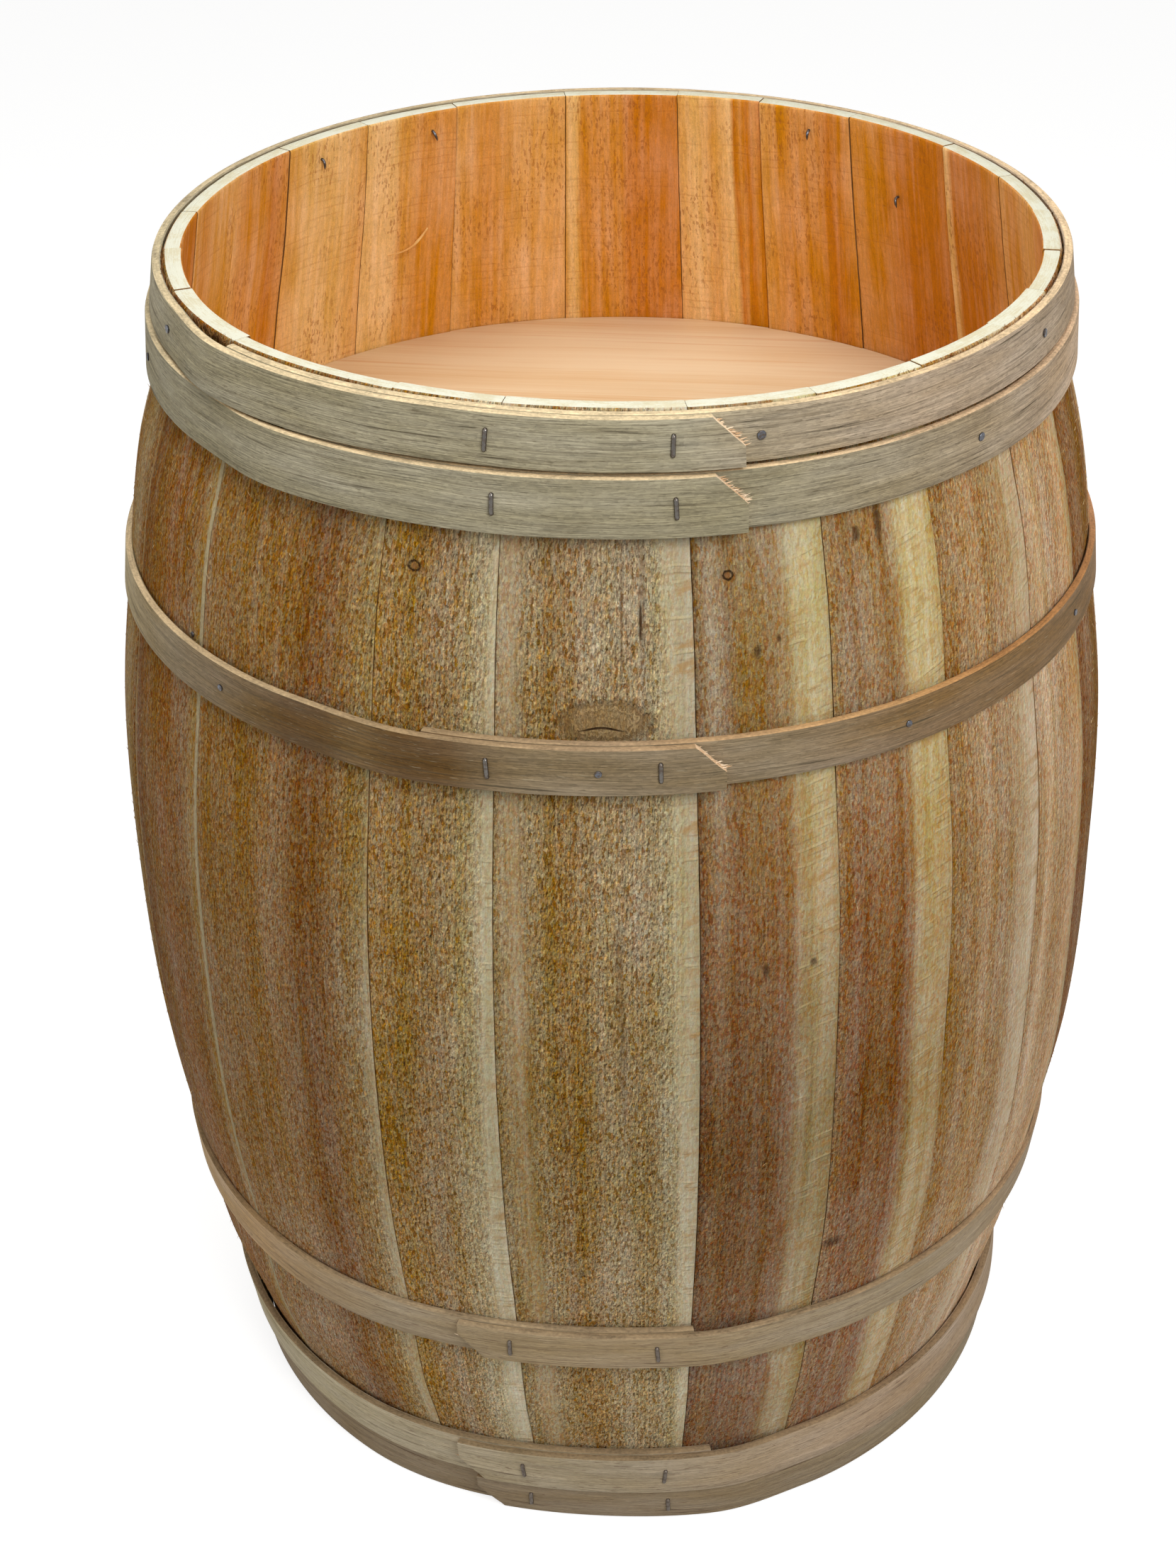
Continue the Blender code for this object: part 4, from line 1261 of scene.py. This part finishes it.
def board_fibres(rng):
    """Splinters on the torn parts of the board faces, outside of the hoops."""
    parts = []
    for _ in range(FIBRE_TRIES):
        azimuth = rng.uniform(0, 360)
        height = rng.uniform(0.06, 0.62)
        ends = [sorted((hoop.bilge_edge, hoop.end_edge)) for hoop in HOOPS]
        if any(low - 0.004 < height < high + 0.002 for low, high in ends):
            continue
        turned = (azimuth - FIRST_JOINT) % 360 + FIRST_JOINT
        number = min(max(int(np.searchsorted(JOINTS, turned)), 1), len(BOARDS))
        start, end = span(number)
        share = (turned - start) / (end - start)
        places, _, torn = zip(*OUTSIDE[BOARDS[number][0]][0])
        if rng.uniform() > float(np.interp(share, places, torn)):
            continue
        outward, sideways = radial(azimuth)
        corner = float(outer_radius(height))
        angle = math.radians(end - start)
        chord = corner * math.cos(angle / 2) / math.cos((share - 0.5) * angle)
        radius = chord + STAVE_CROWN * (corner - chord) + BOARDS[number][2] / 1000
        root = spot(radius - 0.0002, azimuth, height)
        direction = up_by(rng.choice((-1.0, 1.0))) + outward * rng.uniform(0.05, 0.3)
        direction += sideways * rng.uniform(-0.35, 0.35)
        bend = outward * rng.uniform(-0.05, 0.25) + sideways * rng.uniform(-0.3, 0.3)
        size = rng.uniform(0.0010, 0.0034), rng.uniform(0.00016, 0.00034)
        parts.append(sliver(root, direction, bend, *size))
    return parts


def rim_fibres(rng):
    """Splinters that stand in the gap inside the rim hoop."""
    parts = []
    nearest = float(outer_radius(HEIGHT)) - 0.0003
    furthest = HOOPS[0].inside(0.0, HEIGHT) + 0.0006
    for low, high, count in ((-86, -46, 420), (34, 72, 380), (-46, 34, 120), (72, 110, 60)):
        for _ in range(count):
            azimuth = rng.uniform(low, high)
            outward, sideways = radial(azimuth)
            radius = rng.uniform(nearest, furthest)
            root = spot(radius, azimuth, HEIGHT - rng.uniform(0.002, 0.006))
            direction = up_by(1.0) + sideways * rng.uniform(-1.8, 1.8) + outward * rng.uniform(-0.3, 0.3)
            length = rng.uniform(0.002, 0.0055)
            top = HEIGHT + 0.0006 - root.z
            lift = direction.normalized().z * length
            if lift > top:
                length *= top / lift
            bend = sideways * rng.uniform(-0.2, 0.2)
            parts.append(sliver(root, direction, bend, length, rng.uniform(0.0003, 0.0006)))
    return parts


def end_fibres(rng):
    """Splinters at the cut corners of the strips."""
    parts = []
    for hoop, count in zip(HOOPS, (26, 46, 20, 10, 8)):
        for _ in range(count):
            along = rng.uniform(0.15, 1.0)
            azimuth = hoop.outer_end - hoop.turn * math.degrees(CORNER_CUT / 0.23) * (1 - along)
            height = hoop.end_edge - hoop.side * CORNER_CUT * along
            outward, sideways = radial(azimuth)
            depth = rng.uniform(0.0005, HOOP_THICKNESS - 0.0002)
            radius = float(hoop.face(azimuth - hoop.turn * 0.5, height)) - depth
            root = outward * radius + up_by(height - hoop.side * 0.0004)
            direction = sideways * hoop.turn + up_by(hoop.side * rng.uniform(-0.15, 0.35))
            direction += outward * rng.uniform(-0.15, 0.1)
            bend = up_by(rng.uniform(-0.1, 0.1))
            size = rng.uniform(0.001, 0.0042), rng.uniform(0.0003, 0.0007)
            parts.append(sliver(root, direction, bend, *size))
    return parts


def inside_fibre():
    """One long splinter that bows off a board at the back."""
    path, radii = [], []
    for t in np.linspace(0, 1, 14):
        arch = math.sin(math.pi * t)
        height = 0.6075 - 0.0125 * t - 0.002 * arch
        away = 0.0019 + 0.0045 * arch
        path.append(radial(-151.6 + 6.4 * t)[0] * (float(inner_radius(height)) - away) + up_by(height))
        radii.append(0.0002 + 0.0006 * math.sin(math.pi * min(1.0, t + 0.15)) ** 0.7)
    return [tube(path, radii, 6)]


def make_fuzz():
    """All the splinters, with one row of random numbers for the first three kinds."""
    rng = np.random.default_rng(77)
    for name, parts, tones, slot in (
        ("fibres_boards", board_fibres(rng), ("straw", (222, 196, 146), (182, 138, 80)), "stave_wood"),
        ("fibres_rim_gap", rim_fibres(rng), ("brown", (150, 108, 62), (108, 72, 38)), "stave_wood"),
        ("fibres_strip_ends", end_fibres(rng), ("fresh", (238, 214, 182), (206, 166, 124)),
         "upper_hoop_wood"),
        ("fibre_inside", inside_fibre(), ("pale", (240, 200, 130), (214, 160, 92)), "stave_wood"),
    ):
        settle(add_small(name, joined(parts), fuzz_wood(*tones), 60), slot)


def fresh_tree(owner):
    owner.use_nodes = True
    owner.node_tree.nodes.clear()
    return owner.node_tree


def shader(tree, kind, colour, strength=None):
    made = tree.nodes.new(kind)
    made.inputs["Color"].default_value = (*colour, 1)
    if strength is not None:
        made.inputs["Strength"].default_value = strength
    return made


def join(tree, kind, *parts):
    """A node whose first inputs come from other nodes."""
    made = tree.nodes.new(kind)
    for socket, part in zip(made.inputs, parts):
        tree.links.new(part.outputs[0], socket)
    return made


def seen_rays(tree):
    """1 for rays from the camera, straight, by a reflection or through something."""
    rays = tree.nodes.new("ShaderNodeLightPath").outputs
    total = rays["Is Camera Ray"]
    for kind in ("Is Glossy Ray", "Is Transmission Ray"):
        either = tree.nodes.new("ShaderNodeMath")
        either.operation = "MAXIMUM"
        tree.links.new(total, either.inputs[0])
        tree.links.new(rays[kind], either.inputs[1])
        total = either.outputs[0]
    return either


def make_stage():
    """Pale floor, soft lamps and a white surround."""
    mesh = bpy.data.meshes.new("stage_floor")
    corners = ((-1, -1), (1, -1), (1, 1), (-1, 1))
    mesh.from_pydata([(x * STAGE_REACH, y * STAGE_REACH, 0) for x, y in corners], [], [(0, 1, 2, 3)])
    material = bpy.data.materials.new("stage_pale")
    tree = fresh_tree(material)
    plain = shader(tree, "ShaderNodeBsdfDiffuse", (0.45, 0.45, 0.44))
    shade = shader(tree, "ShaderNodeBsdfDiffuse", (0.42, 0.42, 0.42))
    glow = shader(tree, "ShaderNodeEmission", (1, 1, 1), 0.75)
    shown = join(tree, "ShaderNodeAddShader", shade, glow)
    join(tree, "ShaderNodeOutputMaterial", join(tree, "ShaderNodeMixShader", seen_rays(tree), plain, shown))
    mesh.materials.append(material)
    ground = add_object("stage_floor", mesh)

    scene = bpy.context.scene
    scene.world = bpy.data.worlds.new("surround")
    tree = fresh_tree(scene.world)
    light = shader(tree, "ShaderNodeBackground", (1.0, 0.99, 0.97), 0.42)
    white = shader(tree, "ShaderNodeBackground", (1, 1, 1), 1.0)
    join(tree, "ShaderNodeOutputWorld", join(tree, "ShaderNodeMixShader", seen_rays(tree), light, white))

    for name, place, aim, wide, power in (
        ("lamp_key", (0.75, -1.55, 1.90), (0, 0, 0.50), 1.1, 30.0),
        ("lamp_top", (-0.45, 0.1, 2.3), (0, 0, 0.5), 1.4, 18.0),
        ("lamp_fill", (-1.8, -1.2, 1.3), (0, 0, 0.45), 1.4, 7.0),
    ):
        data = bpy.data.lights.new(name, "AREA")
        data.shape = "DISK"
        data.size = wide
        data.energy = power
        lamp = add_object(name, data)
        lamp.location = place
        lamp.rotation_euler = (Vector(aim) - Vector(place)).to_track_quat("-Z", "Y").to_euler()
    scene.view_settings.view_transform = "Standard"


def make_camera():
    """The photograph's viewpoint."""
    data = bpy.data.cameras.new("camera")
    data.sensor_fit = "VERTICAL"
    data.sensor_height = 24.0
    data.lens = CAMERA_FOCAL * data.sensor_height
    data.clip_end = 50.0
    yaw, pitch, roll = CAMERA_TURNS
    flat = math.cos(pitch)
    forward = Vector((math.sin(yaw) * flat, math.cos(yaw) * flat, -math.sin(pitch)))
    level = Vector((math.cos(yaw), -math.sin(yaw), 0.0))
    rise = level.cross(forward)
    right = math.cos(roll) * level + math.sin(roll) * rise
    up = -math.sin(roll) * level + math.cos(roll) * rise
    camera = add_object("camera", data)
    turn = Matrix((right, up, -forward)).transposed().to_4x4()
    camera.matrix_world = Matrix.Translation(CAMERA_PLACE) @ turn
    bpy.context.scene.camera = camera


make_camera()
make_boards()
make_hoops()
make_staples()
make_nails()
make_floor()
make_fuzz()
make_stage()

bpy.context.view_layer.update()
